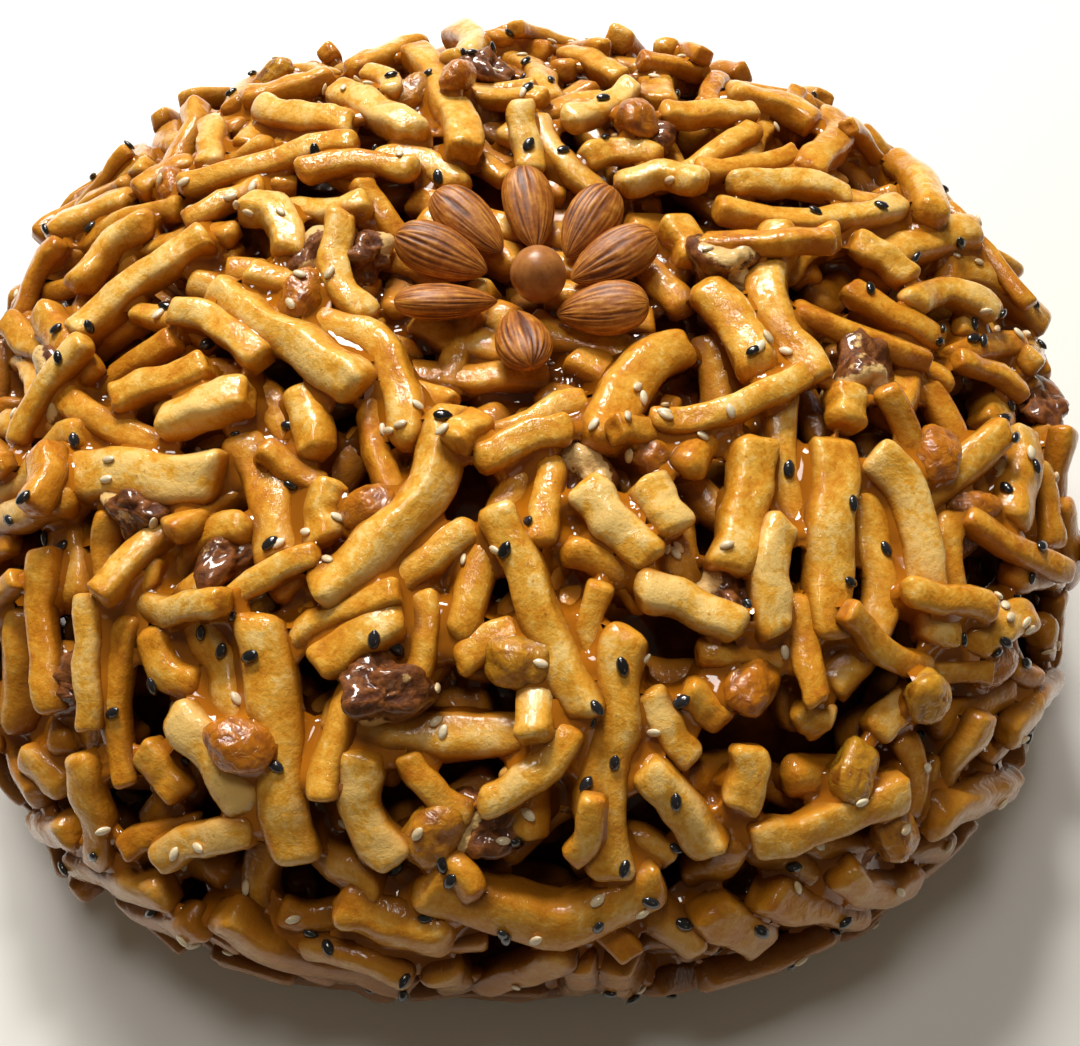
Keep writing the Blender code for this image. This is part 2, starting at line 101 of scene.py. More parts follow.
class Paint:
    # A node material. Every socket is fed by another's output, by a number or by a colour.
    def __init__(self, name):
        self.material = bpy.data.materials.new(name)
        self.material.use_nodes = True
        self.tree = self.material.node_tree

    def feed(self, socket, value):
        if isinstance(value, bpy.types.NodeSocket):
            self.tree.links.new(value, socket)
        else:
            socket.default_value = (*value, 1) if socket.type == "RGBA" else value

    def node(self, kind, **settings):
        node = self.tree.nodes.new("ShaderNode" + kind)
        for key, value in settings.items():
            if key in node.inputs:
                self.feed(node.inputs[key], value)
            else:
                setattr(node, key, value)
        return node

    def place(self):
        return self.node("TexCoord").outputs["Object"]

    def attribute(self, name, output="Fac"):
        return self.node("Attribute", attribute_name=name).outputs[output]

    def noise(self, place, scale, **more):
        return self.node("TexNoise", Vector=place, Scale=scale, **more).outputs["Fac"]

    def bump(self, height, strength, distance, **more):
        return self.node("Bump", Height=height, Strength=strength, Distance=distance, **more).outputs["Normal"]

    def maths(self, operation, *values, clamp=False):
        node = self.node("Math", operation=operation, use_clamp=clamp)
        for socket, value in zip(node.inputs, values):
            self.feed(socket, value)
        return node.outputs["Value"]

    def ramp(self, source, *stops):
        node = self.node("ValToRGB", Fac=source)
        while len(node.color_ramp.elements) < len(stops):
            node.color_ramp.elements.new(0.5)
        for element, (place, colour) in zip(node.color_ramp.elements, stops):
            element.position = place
            element.color = (*colour, 1)
        return node.outputs["Color"]

    def fade(self, source, start, end, before=0.0, after=1.0):
        # A ramp of greys from one place to another.
        return self.ramp(source, (start, (before,) * 3), (end, (after,) * 3))

    def mix(self, share, first, second):
        node = self.node("Mix", data_type="RGBA")
        for index, value in ((0, share), (6, first), (7, second)):
            self.feed(node.inputs[index], value)
        return node.outputs[2]

    def finish(self, sockets):
        for name, value in sockets.items():
            self.feed(self.tree.nodes["Principled BSDF"].inputs[name], value)
        return self.material


# Camera, lights and floor.
view = {"place": (0.0007, -0.1673, 0.3106), "pitch": 63.0}
lens = {"lens": 36.67, "sensor_width": 36.0, "clip_start": 0.01}
lights = {
    "window": {"place": (-0.27, 0.97, 1.05), "size": 0.6, "size_y": 0.35, "energy": 20, "color": (1.0, 0.97, 0.91)},
    "pane": {"place": (-0.12, 0.93, 1.12), "size": 0.2, "size_y": 0.1, "energy": 6.5, "color": (1.0, 0.98, 0.94)},
    "sky": {"place": (-0.1, 0.3, 1.3), "size": 0.3, "size_y": 0.3, "energy": 4, "color": (1.0, 0.97, 0.92)},
    "room": {"place": (0.6, -0.9, 0.8), "size": 0.4, "size_y": 0.4, "energy": 0.3, "color": (1.0, 0.88, 0.7)},
}
studio = {
    "aim": (0, 0, 0.05), "world": (1.0, 0.84, 0.60), "worldPower": 0.10,
    "floor": (0.90, 0.885, 0.855), "floorRough": 0.4, "floorSize": 4.0, "floorGap": 0.0002,
}


def addToStudio(name, data, place, values):
    item = bpy.data.objects.new(name, data)
    bpy.context.scene.collection.objects.link(item)
    item.location = place
    setAll(data, values)
    return item


def makeStudio():
    scene = bpy.context.scene
    camera = addToStudio("camera", bpy.data.cameras.new("camera"), view["place"], lens)
    camera.rotation_euler = (math.radians(90 - view["pitch"]), 0, 0)
    scene.camera = camera
    for name, setting in lights.items():
        values = {"shape": "RECTANGLE", **{key: value for key, value in setting.items() if key != "place"}}
        lamp = addToStudio(name, bpy.data.lights.new(name, "AREA"), setting["place"], values)
        lamp.rotation_euler = (Vector(studio["aim"]) - lamp.location).to_track_quat("-Z", "Y").to_euler()
    world = bpy.data.worlds.new("studio")
    scene.world = world
    world.use_nodes = True
    backdrop = world.node_tree.nodes["Background"].inputs
    backdrop["Color"].default_value = (*studio["world"], 1)
    backdrop["Strength"].default_value = studio["worldPower"]
    deselectAll()
    bpy.ops.mesh.primitive_plane_add(size=studio["floorSize"], location=(0, 0, cadLow.z - studio["floorGap"]))
    floor = bpy.context.object
    floor.name = "floor"
    paint = Paint("floor paint").finish({"Base Color": studio["floor"], "Roughness": studio["floorRough"]})
    floor.data.materials.append(paint)
    scene.view_settings.view_transform = "Standard"
    print("studio made:", len(lights), "lights")


makeStudio()

# The dome's outline: a rounded top over a widest girdle, which draws in to the foot.
dome = {
    "radius": 0.150, "height": 0.108, "girdle": 0.031, "foot": 0.146, "power": 2.35,
    "steps": 60, "footSteps": 7, "fineSteps": 445, "aside": 2, "leastReach": 20,
}
# Its plan in shares of the radius: no true circle, but fuller to the left, to the front and at the corners.
plan = {"size": 1.04, "left": 0.045, "front": 0.03, "wide": 0.032, "corners": 0.024}


def planShare(turn):
    swell = plan["front"] * np.cos(turn) - plan["left"] * np.sin(turn)
    return plan["size"] + swell - plan["wide"] * np.cos(2 * turn) - plan["corners"] * np.cos(4 * turn)


def domeOutline():
    turn = np.linspace(0, math.pi / 2, dome["steps"] + 1)
    radius = dome["radius"] * np.sin(turn) ** (2 / dome["power"])
    rise = dome["height"] - dome["girdle"]
    height = dome["girdle"] + rise * np.abs(np.cos(turn)) ** (2 / dome["power"])
    share = np.arange(1, dome["footSteps"] + 1) / dome["footSteps"]
    radius = np.append(radius, dome["radius"] - (dome["radius"] - dome["foot"]) * share**2)
    height = np.append(height, dome["girdle"] * (1 - share))
    arc = np.append(0, np.cumsum(np.hypot(np.diff(radius), np.diff(height))))
    return radius, height, arc / mm


outlineRadius, outlineHeight, outlineArc = domeOutline()
fullArc = outlineArc[-1]
fineArc = np.linspace(0, fullArc, dome["fineSteps"])
fineRadius = np.interp(fineArc, outlineArc, outlineRadius)
fineHeight = np.interp(fineArc, outlineArc, outlineHeight)


def onDome(bearing, arc):
    # The point at a place on the dome, and the way out from it.
    turn = math.radians(bearing)
    away = np.array((math.sin(turn), -math.cos(turn), 0.0))
    arcs = (arc, arc - dome["aside"], arc + dome["aside"])
    radius, radiusBefore, radiusAfter = np.interp(arcs, outlineArc, outlineRadius) * planShare(turn)
    height, heightBefore, heightAfter = np.interp(arcs, outlineArc, outlineHeight)
    normal = away * (heightBefore - heightAfter) + np.array((0, 0, radiusAfter - radiusBefore))
    return away * radius + np.array((0, 0, height)), normal / np.linalg.norm(normal)


def nearestOnDome(point):
    turn = math.atan2(point[0], -point[1])
    reach = math.hypot(point[0], point[1]) / planShare(turn)
    nearest = int(np.argmin((fineRadius - reach) ** 2 + (fineHeight - point[2]) ** 2))
    return onDome(math.degrees(turn), fineArc[nearest])


def depthUnderOutline(points):
    # How far each point lies under the outline, in metres, measured to every fourth of its fine steps.
    reach = np.hypot(points[:, 0], points[:, 1]) / planShare(np.arctan2(points[:, 0], -points[:, 1]))
    depth = np.full(len(points), 1.0)
    for radius, height in zip(fineRadius[::4], fineHeight[::4]):
        np.minimum(depth, np.hypot(reach - radius, points[:, 2] - height), out=depth)
    rise = np.clip(points[:, 2] - dome["girdle"], 0, None) / (dome["height"] - dome["girdle"])
    outside = (reach / dome["radius"]) ** dome["power"] + rise ** dome["power"] > 1
    return np.where(outside, 0, depth)


# Where every stick and lump lies: degrees, and mm from the top or of length. The seat under the flower is in metres.
heap = {
    "seed": 31, "flatness": 0.86, "hug": 0.6, "chances": 30, "footClearance": 7, "footSpread": 4,
    "edgeRoom": 10, "slopes": (-75, 75), "rimArc": 165, "rimSlopes": (45, 100), "bows": (-4, 4), "footBows": (-3, 3),
    "seat": (-0.003, 0.008), "seatRadius": 0.036, "seatHeight": 0.097,
}
# The layers of sticks. A sink is how far the outer face lies under the outline, in the stick's own heights.
layers = {
    "top": {"sink": 0.06},
    "tucked": {"sink": 0.6},
    "leaning": {"sink": 0.1},
    "foot": {"sink": 0.15, "count": 20, "length": (30, 48), "width": (8.5, 12), "heading": (62, 118)},
    "fill": {"sink": (0.2, 0.6), "count": 72, "length": (24, 52), "width": (8, 11.5), "seatGap": 0.006},
    "extra": {"sink": (0.4, 1.0), "count": 290, "length": (17, 40), "width": (6, 8.8), "seatGap": 0.001},
    "seat": {"sink": 0.7, "count": 16, "length": (24, 38), "width": (8, 11), "heading": (-80, 80), "arc": (12, 38)},
    "inner": {"sink": 1.2, "count": 220, "length": (26, 48), "width": (9, 12), "seatGap": None},
}
# Sticks laid one by one over the front and the top: bearing and arc of the one end, of the other, sideways bow,
# width.
topSticks = (
    (-95, 73, -55, 44, 0, 11), (-87, 50, -38, 46, -10, 9), (-32, 34, -32, 83, -7, 11),
    (-69, 108, -57, 76, 0, 13), (-77, 96, -77, 72, 0, 8), (-70, 85, -68, 64, 0, 10),
    (-90, 82, -74, 60, -2, 8), (-89, 109, -105, 79, -3, 9), (-97, 114, -109, 100, -4, 9),
    (-114, 97, -137, 64, -3, 8), (-113, 76, -102, 58, -5, 9), (-117, 49, -81, 38, 5, 8),
    (-18, 45, 12, 38, 0, 8), (-24, 46, -20, 35, 0, 8), (-149, 106, -163, 128, 1, 9),
    (-145, 98, -149, 60, -1, 10), (-159, 112, -157, 50, -5, 10), (-135, 106, -141, 74, 2, 9),
    (-176, 68, -178, 46, 0, 8), (153, 45, 128, 54, -3, 8), (173, 62, 160, 85, 0, 8),
    (153, 74, 139, 93, 0, 8), (146, 99, 132, 108, -2, 9), (134, 122, 122, 84, -2, 10),
    (127, 61, 115, 91, -3, 8), (120, 51, 112, 107, 4, 8), (110, 66, 70, 68, 7, 10), (96, 40, 67, 56, -1, 11),
    (78, 36, 19, 45, 4, 12), (35, 43, 71, 65, 3, 7), (52, 60, 30, 80, -1, 11), (43, 76, 32, 96, 4, 9),
    (61, 74, 37, 102, 0, 11), (63, 84, 47, 119, -5, 11), (106, 84, 97, 97, -1, 8), (93, 94, 94, 124, -7, 8),
    (79, 128, 66, 124, -1, 10), (72, 74, 64, 77, 0, 9), (10, 52, 21, 72, 0, 10), (26, 54, 24, 68, 0, 10),
    (16, 76, 28, 92, -1, 9), (13, 84, 7, 138, 3, 11), (11, 114, 17, 136, -1, 9), (23, 114, 20, 128, -1, 9),
    (50, 126, 59, 138, -1, 9), (20, 135, 36, 141, 0, 9), (37, 153, 49, 176, -1, 10),
    (-37, 90, -22, 138, 1, 12), (-19, 110, -13, 134, 3, 10), (-11, 140, 12, 142, 5, 12),
    (-10, 57, 7, 102, 0, 9), (-18, 147, -7, 151, 1, 11), (-19, 82, -27, 97, 1, 9),
    (-39, 116, -27, 128, -1, 10), (-33, 149, -26, 132, -3, 8), (-44, 136, -39, 164, -3, 8),
)
# Sticks of the second layer, tucked in between those, and sticks that lean against the foot.
tuckedSticks = (
    (-132, 84, -132, 56, 0, 8), (-64, 72, -35, 82, 1, 11), (-25, 107, 4, 102, 4, 10),
    (-68, 53, -50, 59, 0, 9), (-71, 116, -56, 119, 0, 12), (-43, 60, -36, 72, 2, 8),
    (-49, 95, -32, 115, -1, 10), (-55, 133, -42, 136, 0, 13), (-51, 120, -51, 98, -5, 8),
    (-47, 106, -38, 112, 3, 8), (-40, 128, -34, 134, 0, 8), (-11, 90, -2, 82, 0, 8),
    (-2, 112, -1, 129, -1, 9), (58, 88, 35, 114, -5, 9), (14, 98, 17, 116, 1, 8), (18, 100, 22, 110, -1, 8),
    (31, 111, 32, 119, 0, 8), (36, 126, 43, 126, -1, 8), (61, 132, 70, 164, -1, 8),
    (97, 156, 79, 122, 2, 12), (81, 93, 71, 87, -1, 9), (-138, 62, -153, 44, -5, 9),
    (-176, 133, 177, 81, 0, 10), (169, 132, 155, 118, -5, 11), (166, 52, 146, 60, -3, 8),
    (128, 43, 106, 41, -1, 9),
)
leaningSticks = (
    (-43, 177, -32, 158, 1, 9), (-37, 182, -28, 162, 1, 9), (-28, 158, -11, 186, 1, 11),
    (-6, 190, 4, 160, -2, 9), (21, 150, 30, 180, 2, 10), (28, 152, 36, 178, 4, 9), (15, 150, 20, 172, 0, 11),
    (7, 164, 8, 196, 0, 12), (3, 160, 4, 198, 0, 8), (-48, 178, -42, 158, 2, 9), (-9, 164, -7, 188, -1, 10),
)


def rowMiddle(row):
    return (onDome(row[0], row[1])[0] + onDome(row[2], row[3])[0]) / 2


def stickRow(bearing, arc, length, heading, bow, width):
    # A row like those listed, from a middle, a length and a heading: 0 runs downhill, 90 level.
    reach = max(np.interp(arc, outlineArc, outlineRadius) / mm * planShare(math.radians(bearing)), dome["leastReach"])
    halfTurn = math.degrees(math.sin(math.radians(heading)) * length / 2 / reach)
    halfArc = math.cos(math.radians(heading)) * length / 2
    return bearing - halfTurn, arc - halfArc, bearing + halfTurn, arc + halfArc, bow, width


def footRows(rng):
    layer = layers["foot"]
    rows = []
    for index in range(layer["count"]):
        bearing = 360 * (index + rng.uniform(-0.15, 0.15)) / layer["count"]
        length = rng.uniform(*layer["length"])
        heading = rng.uniform(*layer["heading"])
        halfDrop = length * abs(math.cos(math.radians(heading))) / 2
        arc = fullArc - heap["footClearance"] - halfDrop - rng.uniform(0, heap["footSpread"])
        bow, width = rng.uniform(*heap["footBows"]), rng.uniform(*layer["width"])
        rows.append(stickRow(bearing, arc, length, heading, bow, width))
    return rows


def seatRows(rng):
    # Sticks that the flower lies on.
    layer = layers["seat"]
    rows = []
    for index in range(layer["count"]):
        bearing = 360 * (index + rng.uniform(-0.2, 0.2)) / layer["count"]
        heading = rng.uniform(*layer["heading"])
        arc, length, width = (rng.uniform(*layer[key]) for key in ("arc", "length", "width"))
        rows.append(stickRow(bearing, arc, length, heading, 0, width))
    return rows


def nearSeat(row, gap):
    # Whether a stick would come within the gap of the flower's seat.
    spots = onDome(row[0], row[1])[0], onDome(row[2], row[3])[0], rowMiddle(row)
    return gap is not None and any(math.dist(spot[:2], heap["seat"]) < heap["seatRadius"] + gap for spot in spots)


def fillRows(rng, laid, layer):
    # Of several chances, each stick takes the place furthest from all the others.
    taken = [rowMiddle(row) for row in laid] or [np.zeros(3)]
    rows = []
    for _ in range(layer["count"]):
        best = None
        for _ in range(heap["chances"]):
            arc = math.sqrt(rng.uniform(0.0, 1)) * (fullArc - heap["edgeRoom"])
            length = rng.uniform(*layer["length"])
            if arc < heap["rimArc"]:
                heading = rng.uniform(*heap["slopes"])
            else:
                heading = rng.choice((-1, 1)) * rng.uniform(*heap["rimSlopes"])
            bearing = rng.uniform(-180, 180)
            row = stickRow(bearing, arc, length, heading, rng.uniform(*heap["bows"]), rng.uniform(*layer["width"]))
            low, high = sorted((row[1], row[3]))
            if low < 0 or high > fullArc - heap["footClearance"] or nearSeat(row, layer["seatGap"]):
                continue
            room = min(np.linalg.norm(np.array(taken) - rowMiddle(row), axis=1))
            if best is None or room > best[0]:
                best = room, row
        taken.append(rowMiddle(best[1]))
        rows.append(best[1])
    return rows


class Stick:
    # A centre line through three points, with the width and height of what lies round it.
    def __init__(self, row, sink, kind):
        self.kind = kind
        self.width = row[5] * mm
        self.height = self.width * heap["flatness"]
        under = self.height * (0.5 + sink)
        start, startUp = onDome(row[0], row[1])
        end, endUp = onDome(row[2], row[3])
        self.up = (startUp + endUp) / np.linalg.norm(startUp + endUp)
        self.start = start - startUp * under
        self.end = end - endUp * under
        side = np.cross(self.end - self.start, self.up)
        side /= np.linalg.norm(side)
        over, overUp = nearestOnDome((start + end) / 2)
        straight = (self.start + self.end) / 2
        self.middle = straight + heap["hug"] * (over - overUp * under - straight) + side * row[4] * mm
        self.length = np.linalg.norm(self.end - self.start)

    def at(self, share):
        share = np.asarray(share, float)[:, None]
        pull = self.middle * 2 - (self.start + self.end) / 2
        point = self.start * (1 - share) ** 2 + pull * 2 * share * (1 - share) + self.end * share**2
        return point, unit((pull - self.start) * (1 - share) + (self.end - pull) * share)


# Raisins and walnut pieces among the sticks: size in mm, and bearing and arc of those given one by one.
lumps = {
    "raisin": {
        "size": (14, 10.5, 9), "others": 9,
        "laid": ((26, 104), (68, 100), (65, 114), (-3, 89), (42, 125), (156, 68), (32, 48), (-154, 86), (34, 150),
                 (-10, 127), (32, 132), (-33, 62), (52, 130), (-29, 114)),
    },
    "walnut": {
        "size": (16, 12.5, 11), "others": 6,
        "laid": ((-20, 96), (-6, 124), (-48, 86), (77, 79), (13, 50), (-169, 98), (-109, 42), (-84, 112), (28, 84),
                 (105, 46), (-48, 129)),
    },
}
lumpLayout = {"sink": 0.3, "room": 0.72, "core": 0.3, "bearings": (60, 300), "fromTop": 45, "fromFoot": 30}


def lumpSticks(kind, rng):
    # A lump is laid out as a very short stick, so that the sticks make room for it.
    setting = lumps[kind]
    places = list(setting["laid"])
    for _ in range(setting["others"]):
        bearing = rng.uniform(*lumpLayout["bearings"])
        places.append((bearing, rng.uniform(lumpLayout["fromTop"], fullArc - lumpLayout["fromFoot"])))
    made = []
    for bearing, arc in places:
        width = setting["size"][1] * lumpLayout["room"]
        row = stickRow(bearing, arc, setting["size"][0] * lumpLayout["core"], rng.uniform(-90, 90), 0, width)
        made.append(Stick(row, lumpLayout["sink"] + rng.uniform(0, lumpLayout["sink"]), kind))
    return made


def layOutHeap():
    rng = random.Random(heap["seed"])
    rows = {"top": topSticks, "tucked": tuckedSticks, "leaning": leaningSticks, "foot": footRows(rng)}
    laid = [*topSticks, *tuckedSticks, *leaningSticks, *rows["foot"]]
    rows["fill"] = fillRows(rng, laid, layers["fill"])
    rows["extra"] = fillRows(rng, [*laid, *rows["fill"]], layers["extra"])
    rows["inner"] = fillRows(rng, [], layers["inner"])
    made = []
    for kind, layer in layers.items():
        sink = layer["sink"]
        for row in seatRows(rng) if kind == "seat" else rows[kind]:
            made.append(Stick(row, rng.uniform(*sink) if isinstance(sink, tuple) else sink, kind))
    return made + lumpSticks("raisin", rng) + lumpSticks("walnut", rng)


# The heap settles: sticks are stiff chains of balls that push each other apart and are drawn back home.
settling = {
    "passes": 80, "balls": 9, "squash": 0.9, "homePull": 0.03, "stayPull": 0.12, "refresh": 5, "reach": 0.017,
    "push": 1.3, "stays": ("top", "tucked", "leaning"),
    "yield": {"top": 0.04, "tucked": 0.12, "leaning": 0.1, "foot": 0.4, "walnut": 0.5, "raisin": 0.6},
    "flowerSlope": 0.9, "flowerRim": 0.001, "boxGap": 0.0028, "topGap": 0.0012,
}


def turnBetween(before, after):
    return Vector(before).rotation_difference(Vector(after)).to_matrix()


def closePairs(balls, owner):
    tree = KDTree(len(balls))
    for index, ball in enumerate(balls):
        tree.insert(ball, index)
    tree.balance()
    return np.array(sorted(
        (index, other) for index, ball in enumerate(balls)
        for _, other, _ in tree.find_range(ball, settling["reach"])
        if other > index and owner[other] != owner[index]
    ))


def keepInRoom(balls, radius):
    # Under the flower, inside the box of the solids, and on the ground.
    reach = np.hypot(balls[:, 0] - heap["seat"][0], balls[:, 1] - heap["seat"][1])
    outside = np.clip(reach + radius * 0.5 - heap["seatRadius"] - settling["flowerRim"], 0, None)
    flowerLevel = heap["seatHeight"] + outside * settling["flowerSlope"]
    balls[:, 2] = np.minimum(balls[:, 2], np.minimum(flowerLevel, cadHigh.z - settling["topGap"]) - radius)
    balls[:, 2] = np.maximum(balls[:, 2], cadLow.z + radius)
    room = radius + settling["boxGap"]
    for axis in (0, 1):
        balls[:, axis] = np.clip(balls[:, axis], cadLow[axis] + room, cadHigh[axis] - room)
    return balls


def settleHeap(sticks):
    count = settling["balls"]
    shares = (np.arange(count) + 0.5) / count
    rest = np.array([stick.at(shares)[0] for stick in sticks])
    radius = np.array([(stick.width + stick.height) / 4 * settling["squash"] for stick in sticks])
    owner = np.repeat(np.arange(len(sticks)), count)
    ballRadius = radius[owner]
    ballYield = np.array([settling["yield"].get(stick.kind, 1.0) for stick in sticks])[owner]
    stays = np.array([stick.kind in settling["stays"] for stick in sticks])[owner]
    pull = np.where(stays, settling["stayPull"], settling["homePull"])[:, None]
    centre = rest.mean(axis=1)
    restDirection = unit(rest[:, -1] - rest[:, 0])
    lever = (shares - 0.5)[None, :, None]
    balls = rest.copy()
    for step in range(settling["passes"]):
        flat = balls.reshape(-1, 3)
        if step % settling["refresh"] == 0:
            pairs = closePairs(flat, owner)
        one, two = pairs[:, 0], pairs[:, 1]
        gap = flat[two] - flat[one]
        distance = np.maximum(np.linalg.norm(gap, axis=1), 1e-6)
        overlap = np.clip(ballRadius[one] + ballRadius[two] - distance, 0, None)
        push = gap / distance[:, None] * overlap[:, None]
        share = (ballYield[one] / (ballYield[one] + ballYield[two]))[:, None]
        moved = np.zeros_like(flat)
        touches = np.zeros(len(flat))
        for ends, moves in ((one, -push * share), (two, push * (1 - share))):
            np.add.at(moved, ends, moves)
            np.add.at(touches, ends[overlap > 0], 1)
        flat = flat + moved / np.maximum(touches, 1)[:, None] * settling["push"]
        flat = flat + (rest.reshape(-1, 3) - flat) * pull
        balls = keepInRoom(flat, ballRadius).reshape(balls.shape)
        middle = balls.mean(axis=1)
        direction = unit(((balls - middle[:, None]) * lever).sum(axis=1))
        turns = np.array([turnBetween(before, after) for before, after in zip(restDirection, direction)])
        turned = np.einsum("sij,snj->sni", turns, rest - centre[:, None])
        balls = np.round(turned + middle[:, None], 7)
    for stick, *settled in zip(sticks, turns, centre, middle, balls, radius):
        stick.turn, stick.before, stick.after, stick.balls, stick.radius = settled
    left = round(float(overlap[overlap > 0].mean() / mm), 2)
    print("settled", len(sticks), "pieces; mean overlap left", left, "mm")
    return sticks


heapPieces = settleHeap(layOutHeap())
allBalls = np.concatenate([piece.balls for piece in heapPieces])
allRadii = np.repeat([piece.radius for piece in heapPieces], settling["balls"])
allOwners = np.repeat(np.arange(len(heapPieces)), settling["balls"])

# Syrup and painted shade on a surface: close to the next piece, hidden under others, deep in the heap or low on it.
# Under others the darkening is painted shade; at contacts, deep and low it is partly syrup, partly painted shade.
soakAndShadeSetting = {
    "nearby": 0.026, "closeWithin": 0.0035, "closePower": 1.5, "close": 0.36, "fullShadeUnderOthers": 3.2, "shadeUnderOthers": 0.5,
    "depthFrom": 0.010, "depthTo": 0.028, "deepSoakShade": 0.7, "low": 0.85, "lowPower": 1.2, "lumpShare": 0.6,
    # The outer faces are paled partly by painted light; the ends are toasted darker.
    "crestPaleAndLit": 0.42, "endDark": 0.1,
}


def nearbySoakAndShade(number, points, outward):
    # How soaked each point of a piece is by what lies close to it, with painted shade from what lies close to it and
    # over it.
    own = heapPieces[number]
    away = np.linalg.norm(allBalls - own.after, axis=1)
    near = (allOwners != number) & (away < own.length / 2 + soakAndShadeSetting["nearby"])
    if not near.any():
        return np.zeros(len(points))
    gap = allBalls[near][None] - points[:, None]
    distance = np.maximum(np.linalg.norm(gap, axis=2), 1e-5)
    # Syrup at the contacts, with painted shade in the crevice between the pieces.
    close = clamp(1 - (distance - allRadii[near]).min(axis=1) / soakAndShadeSetting["closeWithin"])
    # Painted shade from the balls that lie over each point.
    facing = clamp(np.einsum("pqk,pk->pq", gap, outward) / distance)
    shadeUnderOthers = (facing * (allRadii[near] / np.maximum(distance, allRadii[near])) ** 2).sum(axis=1)
    shadeUnderOthers = clamp(shadeUnderOthers / soakAndShadeSetting["fullShadeUnderOthers"])
    return close ** soakAndShadeSetting["closePower"] * soakAndShadeSetting["close"] + shadeUnderOthers * soakAndShadeSetting["shadeUnderOthers"]


# Shared helpers for meshes.
def joinPieces(name, parts):
    # One mesh from many copies; each part holds its points and faces and a value for each point under each name.
    mesh = bpy.data.meshes.new(name)
    faces = []
    offset = 0
    for part in parts:
        faces += [tuple(corner + offset for corner in face) for face in part["faces"]]
        offset += len(part["points"])
    mesh.from_pydata(np.concatenate([part["points"] for part in parts]).tolist(), [], faces)
    for key in parts[0]:
        if key in ("points", "faces"):
            continue
        values = np.concatenate([part[key] for part in parts]).astype(np.float32)
        layer = mesh.attributes.new(key, "FLOAT_VECTOR" if values.ndim == 2 else "FLOAT", "POINT")
        layer.data.foreach_set("vector" if values.ndim == 2 else "value", values.ravel())
    mesh.update()
    piece = bpy.data.objects.new(name, mesh)
    bpy.context.scene.collection.objects.link(piece)
    mesh.shade_smooth()
    return piece


def gatherPieces(pieces):
    # The corners and faces of several pieces in one.
    corners = []
    faces = []
    for piece in pieces:
        offset = len(corners)
        corners += [tuple(vert.co) for vert in piece.data.vertices]
        faces += [tuple(corner + offset for corner in face.vertices) for face in piece.data.polygons]
    return corners, faces


def takeMesh(item):
    # The points and faces of a modelled form, which is then removed.
    points = np.zeros(len(item.data.vertices) * 3)
    item.data.vertices.foreach_get("co", points)
    faces = [tuple(face.vertices) for face in item.data.polygons]
    bpy.data.objects.remove(item)
    return points.reshape(-1, 3), faces


def addBall(setting, radius=0.5, **more):
    deselectAll()
    segments, rings = setting["segments"], setting["rings"]
    bpy.ops.mesh.primitive_uv_sphere_add(segments=segments, ring_count=rings, radius=radius, **more)
    return bpy.context.object


def applyModifier(piece, kind, **values):
    deselectAll()
    bpy.context.view_layer.objects.active = piece
    piece.select_set(True)
    modifier = piece.modifiers.new("shaping", kind)
    setAll(modifier, values)
    bpy.ops.object.modifier_apply(modifier=modifier.name)


def countTriangles(piece):
    return len(piece.data.loops) - 2 * len(piece.data.polygons)


def roughen(piece, size, strength):
    # Uneven relief pushed along the normals, and applied.
    texture = bpy.data.textures.new(piece.name + " relief", "CLOUDS")
    texture.noise_scale = size
    applyModifier(piece, "DISPLACE", texture=texture, texture_coords="LOCAL", strength=strength, mid_level=0.5)


boxRoom = {"low": 0.0002, "high": 0.0001, "sticks": 0.0004}


def finishPiece(piece, material, node="stick_dome"):
    lowest, highest = ([value + room for value in corner] for corner, room in (
        (cadLow, boxRoom["low"]), (cadHigh, -boxRoom["high"]),
    ))
    for vert in piece.data.vertices:
        vert.co = [min(max(value, low), high) for value, low, high in zip(vert.co, lowest, highest)]
    piece.data.materials.clear()
    piece.data.materials.append(material)
    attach(piece, "root")
    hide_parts(node)


# The dough sticks: each form is modelled once, four long and one wide; ring sizes run from each end inwards.
formBar = {"length": 4.0, "stations": (2.0, 1.92, 1.58, 0.7), "levels": 2, "inset": 0.12, "endFaces": 1.99}
stickForms = {
    "squareCut": {"bevel": 0.18, "near": ((0.88, 0.87), (1.0, 1.0), (1.0, 1.0), (0.97, 0.98)),
                  "far": ((0.86, 0.88), (0.99, 1.0), (1.02, 0.98), (0.98, 1.0)), "dish": (0.02, 0.04)},
    "roundEnd": {"bevel": 0.2, "near": ((0.66, 0.66), (0.86, 0.86), (1.0, 1.02), (1.02, 1.02)),
                 "far": ((0.72, 0.74), (0.92, 0.9), (1.0, 1.02), (1.0, 1.0)), "dish": (-0.04, -0.02)},
    "slanted": {"bevel": 0.16, "near": ((0.84, 0.86), (0.97, 0.97), (1.02, 1.0), (0.98, 1.0)),
                "far": ((0.94, 0.76), (1.02, 0.9), (1.0, 1.0), (0.96, 1.0)), "dish": (0.0, 0.03)},
    "flared": {"bevel": 0.17, "near": ((0.94, 0.9), (1.08, 1.03), (1.0, 1.0), (0.92, 0.94)),
               "far": ((0.9, 0.86), (1.03, 1.01), (1.0, 1.0), (0.95, 0.96)), "dish": (0.05, 0.02)},
    "pinched": {"bevel": 0.17, "near": ((1.06, 0.56), (1.08, 0.66), (1.04, 0.9), (1.0, 1.0)),
                "far": ((0.86, 0.9), (0.98, 0.98), (1.02, 1.02), (1.0, 1.02)), "dish": (0.0, 0.02)},
    "knobbly": {"bevel": 0.18, "near": ((0.78, 0.8), (0.94, 0.94), (1.06, 1.04), (0.92, 0.93)),
                "far": ((0.9, 0.86), (1.0, 0.94), (0.96, 0.96), (1.04, 1.03)), "dish": (0.0, 0.06)},
}


